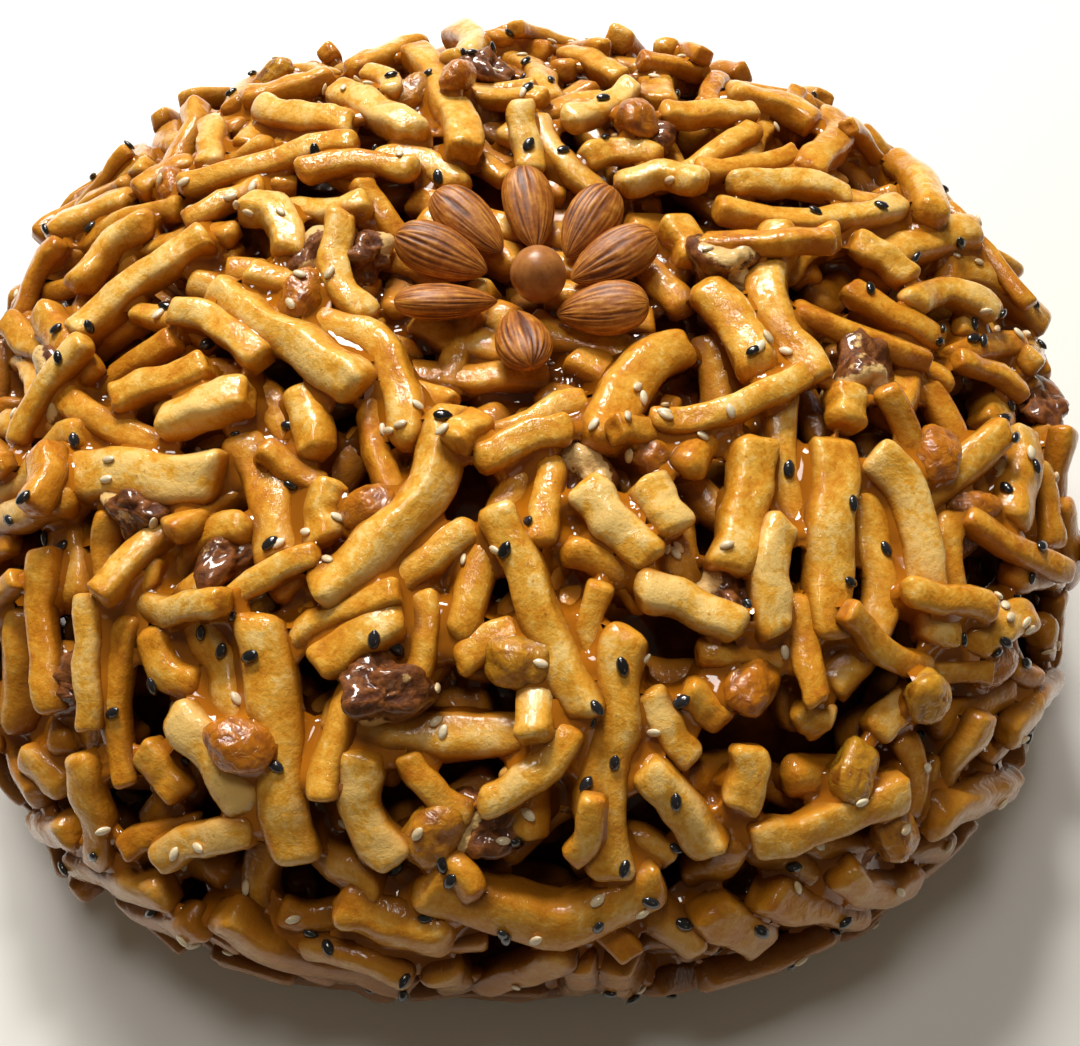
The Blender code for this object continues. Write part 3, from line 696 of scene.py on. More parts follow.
def selectByPlace(bar, mode, wanted):
    # In edit mode: selects what wanted(vert or edge or face) allows.
    bpy.ops.mesh.select_mode(type=mode)
    bpy.ops.mesh.select_all(action="DESELECT")
    edit = bmesh.from_edit_mesh(bar.data)
    for item in {"VERT": edit.verts, "EDGE": edit.edges, "FACE": edit.faces}[mode]:
        item.select = wanted(item)
    edit.select_flush(True)
    bmesh.update_edit_mesh(bar.data)


def modelStickForm(name, form, levels):
    deselectAll()
    bpy.ops.mesh.primitive_cube_add(size=1, location=(0, 0, 0), scale=(formBar["length"], 1, 1))
    bpy.ops.object.transform_apply(location=False, rotation=False, scale=True)
    bar = bpy.context.object
    bar.name = name
    bpy.ops.object.mode_set(mode="EDIT")
    selectByPlace(bar, "EDGE", lambda edge: abs(edge.verts[0].co.x - edge.verts[1].co.x) > 1)
    bpy.ops.mesh.bevel(offset=form["bevel"], segments=1)
    for station in formBar["stations"][1:]:
        for place in (-station, station):
            bpy.ops.mesh.select_all(action="SELECT")
            bpy.ops.mesh.bisect(plane_co=(place, 0, 0), plane_no=(1, 0, 0))
    for sign, rings, dish in ((-1, form["near"], form["dish"][0]), (1, form["far"], form["dish"][1])):
        for station, (wide, tall) in zip(formBar["stations"], rings):
            place = station * sign
            selectByPlace(bar, "VERT", lambda vert, place=place: abs(vert.co.x - place) < 1e-3)
            bpy.ops.transform.resize(value=(1, wide, tall), center_override=(place, 0, 0))
        selectByPlace(bar, "FACE", lambda face, sign=sign: face.calc_center_median().x * sign > formBar["endFaces"])
        bpy.ops.mesh.inset(thickness=formBar["inset"])
        bpy.ops.transform.translate(value=(-sign * dish, 0, 0))
    bpy.ops.object.mode_set(mode="OBJECT")
    applyModifier(bar, "SUBSURF", levels=levels, render_levels=levels)
    return takeMesh(bar)


# How a stick is shaped along its centre line: shares of its width, degrees, and relief in metres.
stickShaping = {
    "shortest": 0.75, "cap": 0.5, "fullSwell": 2.2, "swell": 0.035, "drift": 0.085, "lift": 0.06, "overShift": 0.31,
    "waves": ((0.6, 1.1), (1.4, 2.0), (2.4, 3.2)), "twist": 16, "roll": 16, "skew": 0.22,
    "kinked": 0.45, "kink": 0.6, "kinkFrom": 1.2, "kinkPlace": (0.35, 0.65), "short": 3.2, "plainKinds": 3,
    "faceFrom": 1.8, "faceDeep": 0.2, "endFrom": 1.6, "endDeep": 0.4,
    "bulgeSize": 0.008, "bulge": 0.0007, "wrinkleSize": 0.003, "wrinkleStretch": 2.2, "wrinkle": 0.0003,
    "reliefSize": 0.004, "relief": 0.00045,
}


def wave(rng, size):
    # A smooth random swell along a stick, from the share of its length.
    phases = [rng.uniform(0, 2 * math.pi) for _ in stickShaping["waves"]]
    turns = [rng.uniform(*span) for span in stickShaping["waves"]]
    return lambda share: size * sum(
        np.sin(2 * math.pi * share * turn + phase) / (1 + index)
        for index, (turn, phase) in enumerate(zip(turns, phases))
    )


def shapeStick(number, form, rng):
    stick = heapPieces[number]
    setting = stickShaping
    points, faces = form
    capFrom = formBar["stations"][2]
    halfForm = formBar["length"] / 2
    reach = np.abs(points[:, 0])
    halfLength = max(stick.length / stick.width / 2, setting["shortest"])
    body = reach * (halfLength - setting["cap"]) / capFrom
    along = np.sign(points[:, 0]) * np.where(reach < capFrom, body, reach - halfForm + halfLength) * stick.width
    skewNear, skewFar = rng.uniform(-1, 1) * setting["skew"], rng.uniform(-1, 1) * setting["skew"]
    cap = clamp((reach - capFrom) / setting["cap"])
    along += cap * points[:, 1] * np.where(points[:, 0] < 0, skewNear, skewFar) * stick.width
    share = along / (2 * halfLength * stick.width) + 0.5
    centre, direction = stick.at(clamp(share))
    centre = centre + direction * ((share - clamp(share)) * stick.length)[:, None]
    side = unit(np.cross(stick.up, direction))
    out = np.cross(direction, side)
    fullness = min(halfLength / setting["fullSwell"], 1)
    swell, drift, lift = (wave(rng, setting[key] * fullness) for key in ("swell", "drift", "lift"))
    longEnough = clamp((halfLength - setting["kinkFrom"]) / setting["kinkFrom"])
    kink = rng.choice((-1, 1)) * setting["kink"] * (rng.random() < setting["kinked"]) * longEnough
    elbow = kink * (0.25 - np.abs(share - rng.uniform(*setting["kinkPlace"])))
    across = points[:, 1] * (1 + swell(share))
    over = points[:, 2] * (1 + swell(share + setting["overShift"]))
    roll, twist = (math.radians(rng.gauss(0, setting[key])) for key in ("roll", "twist"))
    angle = roll + twist * (share - 0.5)
    turnedAcross = across * np.cos(angle) - over * np.sin(angle)
    turnedOver = across * np.sin(angle) + over * np.cos(angle)
    endFace = np.clip(reach - setting["faceFrom"], 0, setting["faceDeep"]) / setting["faceDeep"] * 0.5
    outward = side * (turnedAcross * stick.width)[:, None] + out * (turnedOver * stick.height)[:, None]
    outward = unit(outward + direction * (np.sign(points[:, 0]) * endFace * stick.width)[:, None])
    local = np.stack((along, points[:, 1] * stick.width, points[:, 2] * stick.height), axis=1)
    local += np.array([rng.uniform(0, 1) for _ in range(3)])
    coarse = local / setting["bulgeSize"]
    fine = local / (setting["wrinkleSize"] * np.array((setting["wrinkleStretch"], 1, 1)))
    relief = np.array([
        noise.noise(big) * setting["bulge"] + noise.noise(small) * setting["wrinkle"]
        for big, small in zip(coarse.tolist(), fine.tolist())
    ])
    placed = centre + side * ((turnedAcross + drift(share) + elbow) * stick.width)[:, None]
    placed += out * ((turnedOver + lift(share)) * stick.height)[:, None] + outward * relief[:, None]
    placed = (placed - stick.before) @ stick.turn.T + stick.after
    room = boxRoom["sticks"]
    placed[:, :2] = np.clip(placed[:, :2], np.array(cadLow)[:2] + room, np.array(cadHigh)[:2] - room)
    placed[:, 2] = np.maximum(placed[:, 2], ground)
    ends = clamp((reach - setting["endFrom"]) / setting["endDeep"])
    # Paler on the outer face and on raised bulges: partly syrup lying at the sides, partly painted light on the faces
    # turned up to the lamps.
    crest = 0.5 * np.clip(points[:, 2] * 2, -1, 1) + relief / setting["bulge"]
    # Darker deep in the heap, low on it and where pieces crowd in: syrup with painted shade.
    deepSoakShade = clamp((depthUnderOutline(placed) - soakAndShadeSetting["depthFrom"]) / (soakAndShadeSetting["depthTo"] - soakAndShadeSetting["depthFrom"]))
    low = clamp(1 - placed[:, 2] / cadHigh.z) ** soakAndShadeSetting["lowPower"]
    soakShadeNearby = nearbySoakAndShade(number, placed, outward @ stick.turn.T)
    return {
        "points": placed, "faces": faces, "pieceCoord": local,
        "soakAndShade": clamp(soakShadeNearby + deepSoakShade * soakAndShadeSetting["deepSoakShade"] + low * soakAndShadeSetting["low"]),
        "tone": soakAndShadeSetting["crestPaleAndLit"] * crest - soakAndShadeSetting["endDark"] * ends,
    }


# The amber and dark colours are syrup and painted shade, laid on where the soak value is high.
dough = {
    "toasted": (0.50, 0.15, 0.006), "golden": (0.70, 0.285, 0.016), "straw": (0.82, 0.43, 0.055),
    "cream": (0.91, 0.60, 0.19), "amber": (0.45, 0.160, 0.006), "dark": (0.17, 0.052, 0.003),
    "speck": (0.26, 0.075, 0.006), "blotch": 290, "blotchShare": 1.7, "grain": 850, "grainShare": 0.9,
    "cells": 330, "patches": 90, "film": 300, "ripple": 1000,
    "surface": {
        "Roughness": 0.5, "Specular IOR Level": 0.12, "Coat Weight": 1.0, "Coat Roughness": 0.025, "Coat IOR": 1.38,
    },
}


def doughMaterial():
    paint = Paint("glazed dough")
    place = paint.attribute("pieceCoord", "Vector")
    blotch = paint.noise(place, dough["blotch"], Detail=5, Roughness=0.65, Distortion=0.4)
    grain = paint.noise(place, dough["grain"], Detail=4, Roughness=0.7)
    tone = paint.maths("MULTIPLY_ADD", blotch, dough["blotchShare"], paint.attribute("tone"))
    tone = paint.maths("MULTIPLY_ADD", grain, dough["grainShare"], tone)
    tone = paint.maths("SUBTRACT", tone, (dough["blotchShare"] + dough["grainShare"]) / 2, clamp=True)
    colour = paint.ramp(
        tone, (0.0, dough["toasted"]), (0.4, dough["golden"]), (0.75, dough["straw"]), (1.0, dough["cream"])
    )
    cells = paint.node("TexVoronoi", Vector=place, Scale=dough["cells"]).outputs["Distance"]
    where = paint.fade(paint.noise(place, dough["patches"], Detail=2), 0.45, 0.6, 0.0, 0.8)
    colour = paint.mix(paint.maths("MULTIPLY", paint.fade(cells, 0.0, 0.16, 1.0, 0.0), where), colour, dough["speck"])
    # Amber, then dark brown, as the soak value rises: syrup, and painted shade in crevices, under others, deep and
    # low.
    soakAndShade = paint.attribute("soakAndShade")
    colour = paint.mix(paint.fade(soakAndShade, 0.10, 0.55, 0.0, 0.92), colour, dough["amber"])
    colour = paint.mix(paint.fade(soakAndShade, 0.42, 0.95), colour, dough["dark"])
    film = paint.bump(paint.noise(place, dough["film"], Detail=3, Roughness=0.55, Distortion=0.8), 0.7, 0.0007)
    ripple = paint.noise(place, dough["ripple"], Detail=3, Roughness=0.6, Distortion=0.5)
    return paint.finish({
        **dough["surface"], "Base Color": colour, "Coat Normal": paint.bump(ripple, 0.6, 0.0001, Normal=film),
        "Normal": paint.bump(paint.maths("MULTIPLY_ADD", cells, -0.6, grain), 0.7, 0.0004),
    })


# Which sticks make up which piece, how finely they are made and how pale they are.
# The lower and inner pieces run darker: partly painted shade.
stickPieces = {
    "topSticks": {"kinds": ("top",), "levels": 2, "tone": (0.35, 0.75)},
    "lowerSticks": {"kinds": ("tucked", "leaning", "foot"), "levels": 2, "tone": (0.25, 0.65)},
    "fillSticks": {"kinds": ("fill",), "levels": 1, "tone": (0.2, 0.7)},
    "extraSticks": {"kinds": ("extra", "seat"), "levels": 1, "tone": (0.1, 0.65)},
    "innerSticks": {"kinds": ("inner",), "levels": 1, "tone": (0.05, 0.5)},
}


def makeSticks(material):
    rng = random.Random(11)
    forms = {levels: [modelStickForm(*form, levels) for form in stickForms.items()] for levels in (2, 1)}
    made = []
    for name, setting in stickPieces.items():
        parts = []
        for number, stick in enumerate(heapPieces):
            if stick.kind not in setting["kinds"]:
                continue
            choice = forms[setting["levels"]]
            if stick.length < stickShaping["short"] * stick.width:
                choice = choice[:stickShaping["plainKinds"]]
            parts.append(shapeStick(number, rng.choice(choice), rng))
            parts[-1]["tone"] += rng.uniform(*setting["tone"])
        piece = joinPieces(name, parts)
        roughen(piece, stickShaping["reliefSize"], stickShaping["relief"])
        finishPiece(piece, material)
        print("made", name, len(parts), "sticks", countTriangles(piece), "triangles")
        made.append(piece)
    return made


stickObjects = makeSticks(doughMaterial())

# The dark syrupy middle that shows in the gaps: partly syrup, partly painted shade in the gaps between the sticks.
shadeMiddleSetting = {
    "inset": 0.018, "topInset": 0.021, "raised": 0.001, "segments": 110, "rings": 56, "lumpSize": 0.009,
    "lumps": 0.008, "dark": (0.14, 0.030, 0.002), "amber": (0.42, 0.12, 0.006), "cloud": 120, "rough": 0.12,
}


def makeShadeMiddle():
    middle = addBall(shadeMiddleSetting, 1)
    middle.name = "syrupShadeMiddle"
    reach = dome["radius"] - shadeMiddleSetting["inset"]
    rise = dome["height"] - shadeMiddleSetting["topInset"]
    for vert in middle.data.vertices:
        flat = math.hypot(vert.co.x, vert.co.y)
        stretch = 1 / (flat ** dome["power"] + abs(vert.co.z) ** dome["power"]) ** (1 / dome["power"])
        radius = reach * planShare(math.atan2(vert.co.x, -vert.co.y))
        vert.co = Vector((vert.co.x * radius, vert.co.y * radius, max(vert.co.z, 0) * rise)) * stretch
        vert.co.z += cadLow.z + shadeMiddleSetting["raised"]
    bpy.ops.object.mode_set(mode="EDIT")
    bpy.ops.mesh.select_all(action="SELECT")
    bpy.ops.mesh.remove_doubles(threshold=0.0001)
    bpy.ops.mesh.normals_make_consistent(inside=False)
    bpy.ops.object.mode_set(mode="OBJECT")
    middle.data.shade_smooth()
    roughen(middle, shadeMiddleSetting["lumpSize"], shadeMiddleSetting["lumps"])
    for vert in middle.data.vertices:
        vert.co.z = max(vert.co.z, ground)
    # Dark brown clouded with amber: painted shade in the gaps, in the syrup's colours.
    paint = Paint("dark syrup")
    cloud = paint.noise(paint.place(), shadeMiddleSetting["cloud"], Detail=4)
    colour = paint.ramp(cloud, (0.4, shadeMiddleSetting["dark"]), (0.75, shadeMiddleSetting["amber"]))
    finishPiece(middle, paint.finish({"Base Color": colour, "Roughness": shadeMiddleSetting["rough"]}))
    print("made", middle.name)


makeShadeMiddle()

# Raisins and walnut pieces.
raisin = {
    "segments": 34, "rings": 22, "lobe": 0.16, "lobeSize": 0.5, "crag": 0.075, "cragSize": 0.26,
    "dark": (0.22, 0.050, 0.002), "amber": (0.50, 0.17, 0.005), "gold": (0.58, 0.30, 0.02), "grain": 420,
    "surface": {
        "Roughness": 0.4, "Specular IOR Level": 0.2, "Subsurface Weight": 0.6, "Subsurface Radius": (1.0, 0.5, 0.1),
        "Subsurface Scale": 0.004, "Coat Weight": 1.0, "Coat Roughness": 0.03,
    },
}
walnut = {
    "segments": 46, "rings": 30, "lobe": 0.36, "lobeSize": 0.45, "crag": 0.15, "cragSize": 0.17,
    "skin": (0.085, 0.020, 0.004), "skinPale": (0.30, 0.10, 0.022), "flesh": (0.66, 0.36, 0.10),
    "pale": (0.84, 0.56, 0.22), "grain": 420,
    "surface": {"Roughness": 0.5, "Specular IOR Level": 0.2, "Coat Weight": 0.8, "Coat Roughness": 0.08},
}


def ridged(point):
    return 1 - 2 * abs(noise.noise(point))


def shapeLump(number, form, setting, rng):
    stick = heapPieces[number]
    points, faces = form
    size = np.array(lumps[stick.kind]["size"]) * mm * rng.uniform(0.85, 1.15)
    seedPlace = Vector([rng.uniform(0, 100) for _ in range(3)])
    crest = np.zeros(len(points))
    bare = np.zeros(len(points))
    shaped = np.zeros_like(points)
    for index, point in enumerate(points):
        spot = Vector(point)
        swell = noise.noise(spot / setting["lobeSize"] + seedPlace)
        coarse = ridged(spot / setting["cragSize"] + seedPlace)
        crag = 0.65 * coarse + 0.35 * ridged(spot * 2.2 / setting["cragSize"] - seedPlace)
        crest[index] = crag
        bare[index] = noise.noise(spot * 1.3 - seedPlace)
        shaped[index] = point * (1 + setting["lobe"] * 2 * swell + setting["crag"] * crag)
    spin = np.array(Euler([rng.uniform(-0.5, 0.5), rng.uniform(-0.5, 0.5), rng.uniform(0, 6.3)]).to_matrix())
    stand = np.array(Vector(stick.up).to_track_quat("Z", "Y").to_matrix())
    placed = (shaped * size) @ (stand @ spin).T + stick.after
    # Syrup and painted shade from the pieces close by and over the lump.
    soakAndShade = clamp(nearbySoakAndShade(number, placed, unit(placed - stick.after))) * soakAndShadeSetting["lumpShare"]
    tone = np.full(len(points), rng.uniform(0, 1))
    placed[:, 2] = np.maximum(placed[:, 2], ground)
    return {"points": placed, "faces": faces, "crest": crest, "soakAndShade": soakAndShade, "tone": tone, "bare": bare}


def raisinMaterial():
    paint = Paint("raisin")
    tone, crest, soakAndShade = (paint.attribute(name) for name in ("tone", "crest", "soakAndShade"))
    skin = paint.ramp(tone, (0.0, raisin["amber"]), (0.6, raisin["amber"]), (1.0, raisin["gold"]))
    # Darker in the hollows of the crags: painted shade.
    colour = paint.mix(paint.fade(crest, 0.0, 0.7, 0.85, 0.0), skin, raisin["dark"])
    bump = paint.bump(paint.noise(paint.place(), raisin["grain"], Detail=4, Distortion=1.0), 0.6, 0.0012)
    # Darker where the soak value is high: syrup and painted shade from the pieces round it.
    colour = paint.mix(soakAndShade, colour, dough["dark"])
    return paint.finish({**raisin["surface"], "Base Color": colour, "Normal": bump, "Coat Normal": bump})


def walnutMaterial():
    paint = Paint("walnut")
    tone, crest, bare, soakAndShade = (paint.attribute(name) for name in ("tone", "crest", "bare", "soakAndShade"))
    patch = paint.noise(paint.place(), walnut["grain"], Detail=5, Roughness=0.65)
    flesh = paint.maths("MULTIPLY_ADD", patch, 0.8, tone)
    flesh = paint.ramp(flesh, (0.3, walnut["flesh"]), (1.4 / 1.5, walnut["pale"]))
    # The skin darker in the hollows of the crags and paler on the ridges: painted shade.
    skin = paint.maths("MULTIPLY_ADD", crest, 0.5, patch)
    skin = paint.ramp(skin, (0.6, walnut["skin"]), (1.0, walnut["skinPale"]))
    edge = paint.fade(paint.maths("MULTIPLY_ADD", patch, 0.4, bare), 0.36, 0.42)
    # Darker where the soak value is high: syrup and painted shade.
    colour = paint.mix(soakAndShade, paint.mix(edge, skin, flesh), dough["dark"])
    return paint.finish({**walnut["surface"], "Base Color": colour, "Normal": paint.bump(patch, 0.7, 0.0009)})


def makeLumps(kind, name, setting, material):
    rng = random.Random(5)
    form = takeMesh(addBall(setting))
    numbers = [number for number, stick in enumerate(heapPieces) if stick.kind == kind]
    piece = joinPieces(name, [shapeLump(number, form, setting, rng) for number in numbers])
    finishPiece(piece, material)
    print("made", name, len(numbers))
    return piece


raisinPiece = makeLumps("raisin", "raisins", raisin, raisinMaterial())
walnutPiece = makeLumps("walnut", "walnutPieces", walnut, walnutMaterial())

# The syrup that has run together where the sticks meet. It is kept only where it stands out from them.
syrup = {
    "grain": 0.0020, "rounds": 3, "pull": 0.5, "drawnIn": 0.0009, "deepest": 0.018,
    "colour": (0.45, 0.145, 0.006), "dark": (0.10, 0.024, 0.001), "rough": 0.05,
}


def makeSyrup(pieces):
    corners, faces = gatherPieces(pieces)
    film = joinPieces("syrup", [{"points": corners, "faces": faces}])
    applyModifier(film, "REMESH", mode="VOXEL", voxel_size=syrup["grain"])
    applyModifier(film, "SMOOTH", factor=syrup["pull"], iterations=syrup["rounds"])
    applyModifier(film, "DISPLACE", strength=-syrup["drawnIn"], mid_level=0)
    tree = BVHTree.FromPolygons(corners, faces)
    points = np.array([vert.co[:] for vert in film.data.vertices])
    depth = depthUnderOutline(points)
    stands = np.zeros(len(points), dtype=bool)
    for index, point in enumerate(points.tolist()):
        if depth[index] > syrup["deepest"]:
            continue
        found, normal, _, away = tree.find_nearest(point)
        stands[index] = away > 0 and (Vector(point) - found).dot(normal) > 0
    # Darker the deeper it lies under the outline: painted shade.
    layer = film.data.attributes.new("soakAndShade", "FLOAT", "POINT")
    layer.data.foreach_set("value", clamp(depth / syrup["deepest"]).astype(np.float32))
    edit = bmesh.new()
    edit.from_mesh(film.data)
    waste = [face for face in edit.faces if not any(stands[vert.index] for vert in face.verts)]
    bmesh.ops.delete(edit, geom=waste, context="FACES")
    edit.to_mesh(film.data)
    edit.free()
    film.data.shade_smooth()
    paint = Paint("syrup")
    colour = paint.ramp(paint.attribute("soakAndShade"), (0.12, syrup["colour"]), (0.75, syrup["dark"]))
    finishPiece(film, paint.finish({"Base Color": colour, "Roughness": syrup["rough"]}))
    print("made", film.name, countTriangles(film), "triangles")


makeSyrup([*stickObjects, raisinPiece])

# The flower: eight almonds round a hazelnut. Middle in mm, bearing of the blunt end, tilt, roll and length.
flower = {
    "almonds": (
        (-2, 27.5, -172, 9, 8, 24.0), (-17, 23, -134, 9, -8, 23.5), (-23.2, 12.6, -110, 10, -24, 24.0),
        (-21.5, -2.5, -84, 7, 40, 24.5), (-3.5, -12.5, 12, 16, 0, 21.0), (15.5, -4, 91, 9, 18, 22.0),
        (18.5, 11.5, 117, 9, 16, 23.5), (13, 22.5, 148, 9, 20, 22.5),
    ),
    "width": 13.2, "thickness": 8.4, "tipPower": 0.68, "endPower": 0.45, "fadeWithin": 0.1, "fadeTo": 0.15,
    "segments": 92, "rings": 50, "ridges": 6.5, "ridgeRun": 0.6, "ridge": 0.00022, "ridgeLevel": 0.6, "gap": 0.3,
    "groove": (0.12, 0.026, 0.003), "skin": (0.42, 0.13, 0.010), "paleRidge": (0.74, 0.34, 0.05), "grain": 420,
    "rough": 0.48,
}


def almondSwell(share):
    widest = flower["tipPower"] / (flower["tipPower"] + flower["endPower"])
    most = widest ** flower["tipPower"] * (1 - widest) ** flower["endPower"]
    return share ** flower["tipPower"] * (1 - share) ** flower["endPower"] / most


def shapeAlmond(row, form, rng):
    x, y, bearing, tiltAngle, rollAngle, length = row
    points, faces = form
    turn = np.arctan2(points[:, 1], points[:, 0])
    share = (1 + np.clip(points[:, 2] * 2, -1, 1)) / 2
    swell = almondSwell(share) / 2 * mm
    shaped = np.stack((
        (share - 0.5) * length * mm,
        np.cos(turn) * swell * flower["width"],
        np.sin(turn) * swell * flower["thickness"],
    ), axis=1)
    seedPlace = Vector([rng.uniform(0, 100) for _ in range(3)])
    crest = np.zeros(len(points))
    for index in range(len(points)):
        across, over = math.cos(turn[index]) * flower["ridges"], math.sin(turn[index]) * flower["ridges"]
        spot = Vector((share[index] / flower["ridgeRun"], across, over))
        crest[index] = 0.7 * ridged(spot + seedPlace) + 0.3 * ridged(spot * 2.1 + seedPlace)
    fade = np.clip(np.minimum(share, 1 - share) / flower["fadeWithin"], flower["fadeTo"], 1)
    ridge = (crest - flower["ridgeLevel"]) * fade * flower["ridge"]
    shaped += unit(shaped * np.array((0.3, 1, 1.4))) * ridge[:, None]
    roll = Matrix.Rotation(math.radians(rollAngle), 3, "X")
    tilt = Matrix.Rotation(math.radians(-tiltAngle), 3, "Y")
    heading = Matrix.Rotation(math.radians(bearing - 90), 3, "Z")
    placed = shaped @ np.array(heading @ tilt @ roll).T
    middle = np.array((x * mm, y * mm, heap["seatHeight"] + flower["gap"] * mm - placed[:, 2].min()))
    return {"points": placed + middle, "faces": faces, "crest": crest}


def almondMaterial():
    paint = Paint("almond skin")
    patch = paint.noise(paint.place(), flower["grain"], Detail=5, Roughness=0.7)
    height = paint.maths("MULTIPLY_ADD", patch, 0.7, paint.maths("MULTIPLY", paint.attribute("crest"), 0.55))
    colour = paint.ramp(height, (0.35, flower["groove"]), (0.7, flower["skin"]), (1.0, flower["paleRidge"]))
    return paint.finish({
        "Base Color": colour, "Normal": paint.bump(height, 0.5, 0.0004), "Roughness": flower["rough"],
    })


def makeFlower():
    rng = random.Random(23)
    form = takeMesh(addBall(flower))
    material = almondMaterial()
    for number, row in enumerate(flower["almonds"], 1):
        almond = joinPieces(f"petalAlmond{number}", [shapeAlmond(row, form, rng)])
        finishPiece(almond, material, f"almond_{number}")
    print("made", len(flower["almonds"]), "almonds")


makeFlower()

hazelnut = {
    "place": (0.0003, 0.0044), "radius": 0.0068, "segments": 64, "rings": 40, "dent": 0.05, "dentSize": 2.2,
    "dark": (0.30, 0.095, 0.018), "light": (0.54, 0.22, 0.055), "stripes": 260, "rough": 0.36,
}


def makeHazelnut():
    points, faces = takeMesh(addBall(hazelnut))
    shaped = points.copy()
    for index, point in enumerate(points):
        swell = 1 + hazelnut["dent"] * noise.noise(Vector(point) * hazelnut["dentSize"])
        shaped[index] = point * swell * hazelnut["radius"] * 2
    shaped *= hazelnut["radius"] / np.abs(shaped).max()
    shaped[:, :2] += np.array(hazelnut["place"])
    shaped[:, 2] += heap["seatHeight"] + flower["gap"] * mm - shaped[:, 2].min()
    nut = joinPieces("centreHazelnut", [{"points": shaped, "faces": faces}])
    paint = Paint("hazelnut skin")
    stripes = paint.noise(paint.place(), hazelnut["stripes"], Detail=5, Roughness=0.7)
    colour = paint.ramp(stripes, (0.3, hazelnut["dark"]), (0.7, hazelnut["light"]))
    sockets = {"Base Color": colour, "Normal": paint.bump(stripes, 0.15, 0.0003), "Roughness": hazelnut["rough"]}
    finishPiece(nut, paint.finish(sockets), "hazelnut")
    print("made the hazelnut")


makeHazelnut()

# Black and white seeds on the sticks. Clusters are bearing, arc, how many and how far they scatter in mm.
seedKinds = {
    "blackSeeds": {
        "size": (4.1, 2.6, 1.6), "others": 230, "rough": 0.16,
        "dark": (0.006, 0.006, 0.007), "light": (0.022, 0.022, 0.026),
        "clusters": ((-30, 38, 1, 1), (64, 48, 3, 8), (52, 70, 1, 1), (88, 106, 2, 6), (48, 90, 4, 8), (7, 60, 1, 1),
                     (-6, 63, 2, 5), (10, 95, 2, 6), (8, 133, 1, 1), (-40, 98, 2, 4), (-39, 117, 3, 7),
                     (-25, 104, 3, 7), (-25, 114, 2, 5), (-13, 138, 1, 1), (-11, 163, 1, 1), (18, 102, 1, 1),
                     (30, 88, 1, 1), (42, 138, 1, 1), (62, 139, 3, 8), (-73, 105, 1, 1), (-87, 78, 2, 8),
                     (-135, 78, 2, 9), (-177, 100, 2, 9), (114, 109, 1, 1)),
    },
    "whiteSeeds": {
        "size": (3.6, 2.1, 1.2), "others": 200, "rough": 0.4,
        "dark": (0.68, 0.50, 0.27), "light": (0.90, 0.79, 0.56),
        "clusters": ((-35, 40, 6, 8), (-36, 70, 6, 8), (47, 38, 5, 6), (30, 68, 5, 7), (42, 52, 5, 9), (23, 45, 3, 6),
                     (74, 55, 3, 5), (-89, 52, 3, 7), (-114, 96, 4, 9), (-10, 72, 3, 6), (-14, 100, 3, 5),
                     (0, 90, 1, 1), (44, 101, 2, 4), (57, 131, 4, 7), (-145, 92, 3, 6), (-112, 78, 4, 8)),
    },
}
seeding = {
    "segments": 8, "rings": 6, "tipFrom": 0.3, "tip": 0.72, "fromTop": 38, "spare": 50, "above": 0.03,
    "steepest": 0.25, "deepest": 0.02, "tilt": 0.25, "sunk": 0.3, "sizes": (0.9, 1.1), "tones": (0, 0.6),
    "grain": 1500, "coat": 0.8, "coatRough": 0.06,
}


def seedForm(size):
    # A flattened drop: a low ball, drawn out at one end.
    seed = addBall(seeding, rotation=(0, math.pi / 2, 0))
    bpy.ops.object.transform_apply(location=False, rotation=True, scale=False)
    bpy.ops.object.mode_set(mode="EDIT")
    selectByPlace(seed, "VERT", lambda vert: vert.co.x > seeding["tipFrom"])
    bpy.ops.transform.resize(value=(1, seeding["tip"], seeding["tip"]), center_override=(seeding["tipFrom"], 0, 0))
    bpy.ops.mesh.select_all(action="SELECT")
    bpy.ops.transform.resize(value=tuple(side * mm for side in size), center_override=(0, 0, 0))
    bpy.ops.object.mode_set(mode="OBJECT")
    return takeMesh(seed)


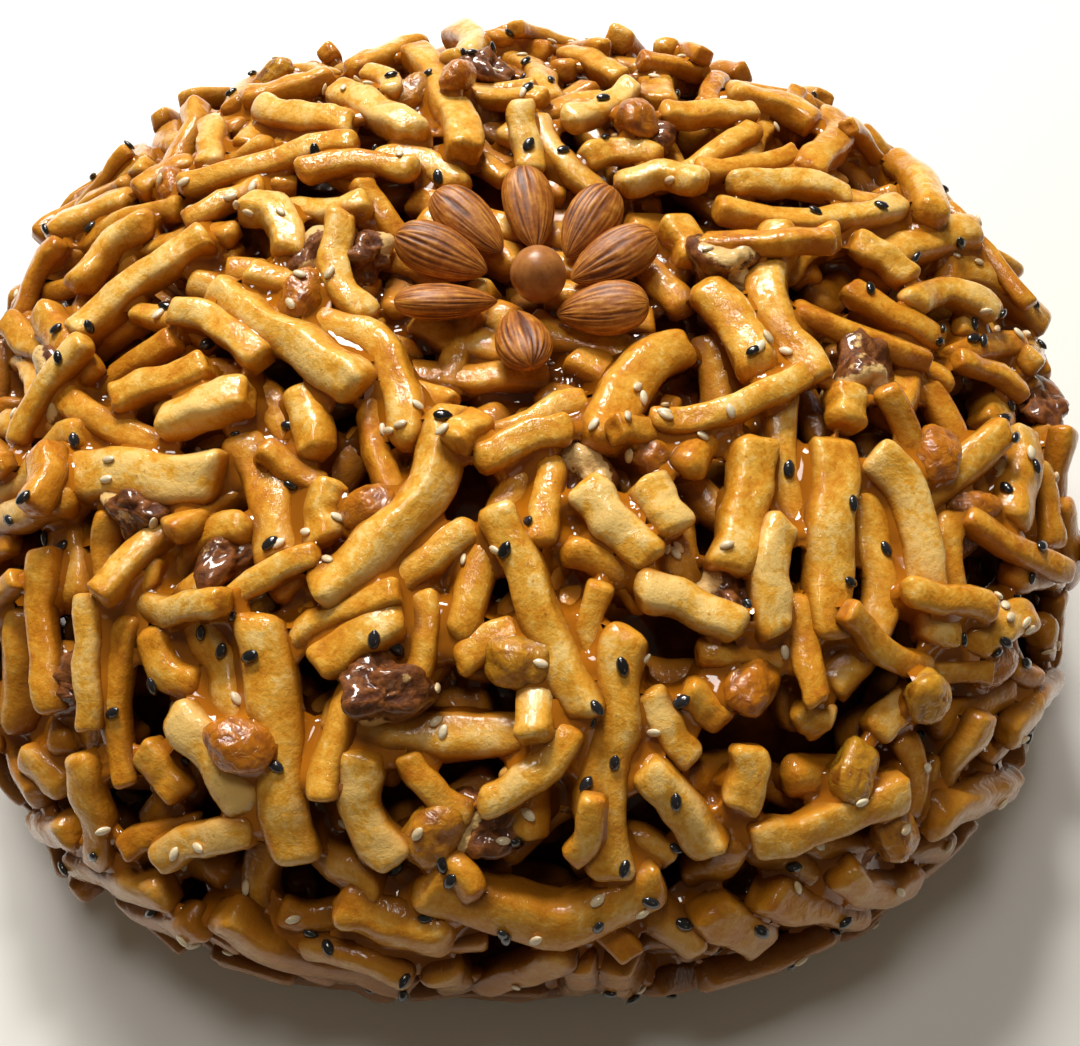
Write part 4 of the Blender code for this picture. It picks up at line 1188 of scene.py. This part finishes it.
def seedMaterial(name, setting):
    paint = Paint(name)
    fine = paint.noise(paint.place(), seeding["grain"], Detail=3)
    tone = paint.maths("MULTIPLY_ADD", fine, 0.5, paint.attribute("tone"))
    return paint.finish({
        "Base Color": paint.ramp(tone, (0.2, setting["dark"]), (0.9, setting["light"])),
        "Normal": paint.bump(fine, 0.3, 0.0002), "Roughness": setting["rough"],
        "Coat Weight": seeding["coat"], "Coat Roughness": seeding["coatRough"],
    })


def seedPlaces(setting, rng):
    places = []
    for bearing, arc, count, spread in setting["clusters"]:
        for _ in range(count):
            reach = max(np.interp(arc, outlineArc, outlineRadius) / mm, dome["leastReach"])
            turned = math.degrees(rng.uniform(-spread, spread) / reach)
            places.append((bearing + turned, arc + rng.uniform(-spread, spread)))
    for _ in range(setting["others"]):
        bearing = rng.uniform(-180, 180)
        places.append((bearing, seeding["fromTop"] + math.sqrt(rng.uniform(0, 1)) * (fullArc - seeding["spare"])))
    return places


def makeSeeds(name, setting, surface, rng):
    points, faces = seedForm(setting["size"])
    parts = []
    for place in seedPlaces(setting, rng):
        over, up = (Vector(values) for values in onDome(*place))
        found, normal, _, _ = surface.ray_cast(over + up * seeding["above"], -up)
        if found is None or normal.dot(up) < seeding["steepest"] or (over - found).dot(up) > seeding["deepest"]:
            continue
        turn, tilt = rng.uniform(0, 2 * math.pi), rng.uniform(-seeding["tilt"], seeding["tilt"])
        spin = Matrix.Rotation(turn, 3, "Z") @ Matrix.Rotation(tilt, 3, "Y")
        stand = normal.to_track_quat("Z", "Y").to_matrix()
        middle = np.array(found + normal * setting["size"][2] * seeding["sunk"] * mm)
        placed = points * rng.uniform(*seeding["sizes"]) @ np.array(stand @ spin).T + middle
        if placed[:, 2].min() < ground:
            continue
        tone = np.full(len(points), rng.uniform(*seeding["tones"]))
        parts.append({"points": placed, "faces": faces, "tone": tone})
    piece = joinPieces(name, parts)
    finishPiece(piece, seedMaterial(name + " skin", setting))
    print("made", name, len(parts))


def scatterSeeds():
    rng = random.Random(17)
    surface = BVHTree.FromPolygons(*gatherPieces([*stickObjects, raisinPiece, walnutPiece]))
    for name, setting in seedKinds.items():
        makeSeeds(name, setting, surface, rng)


scatterSeeds()
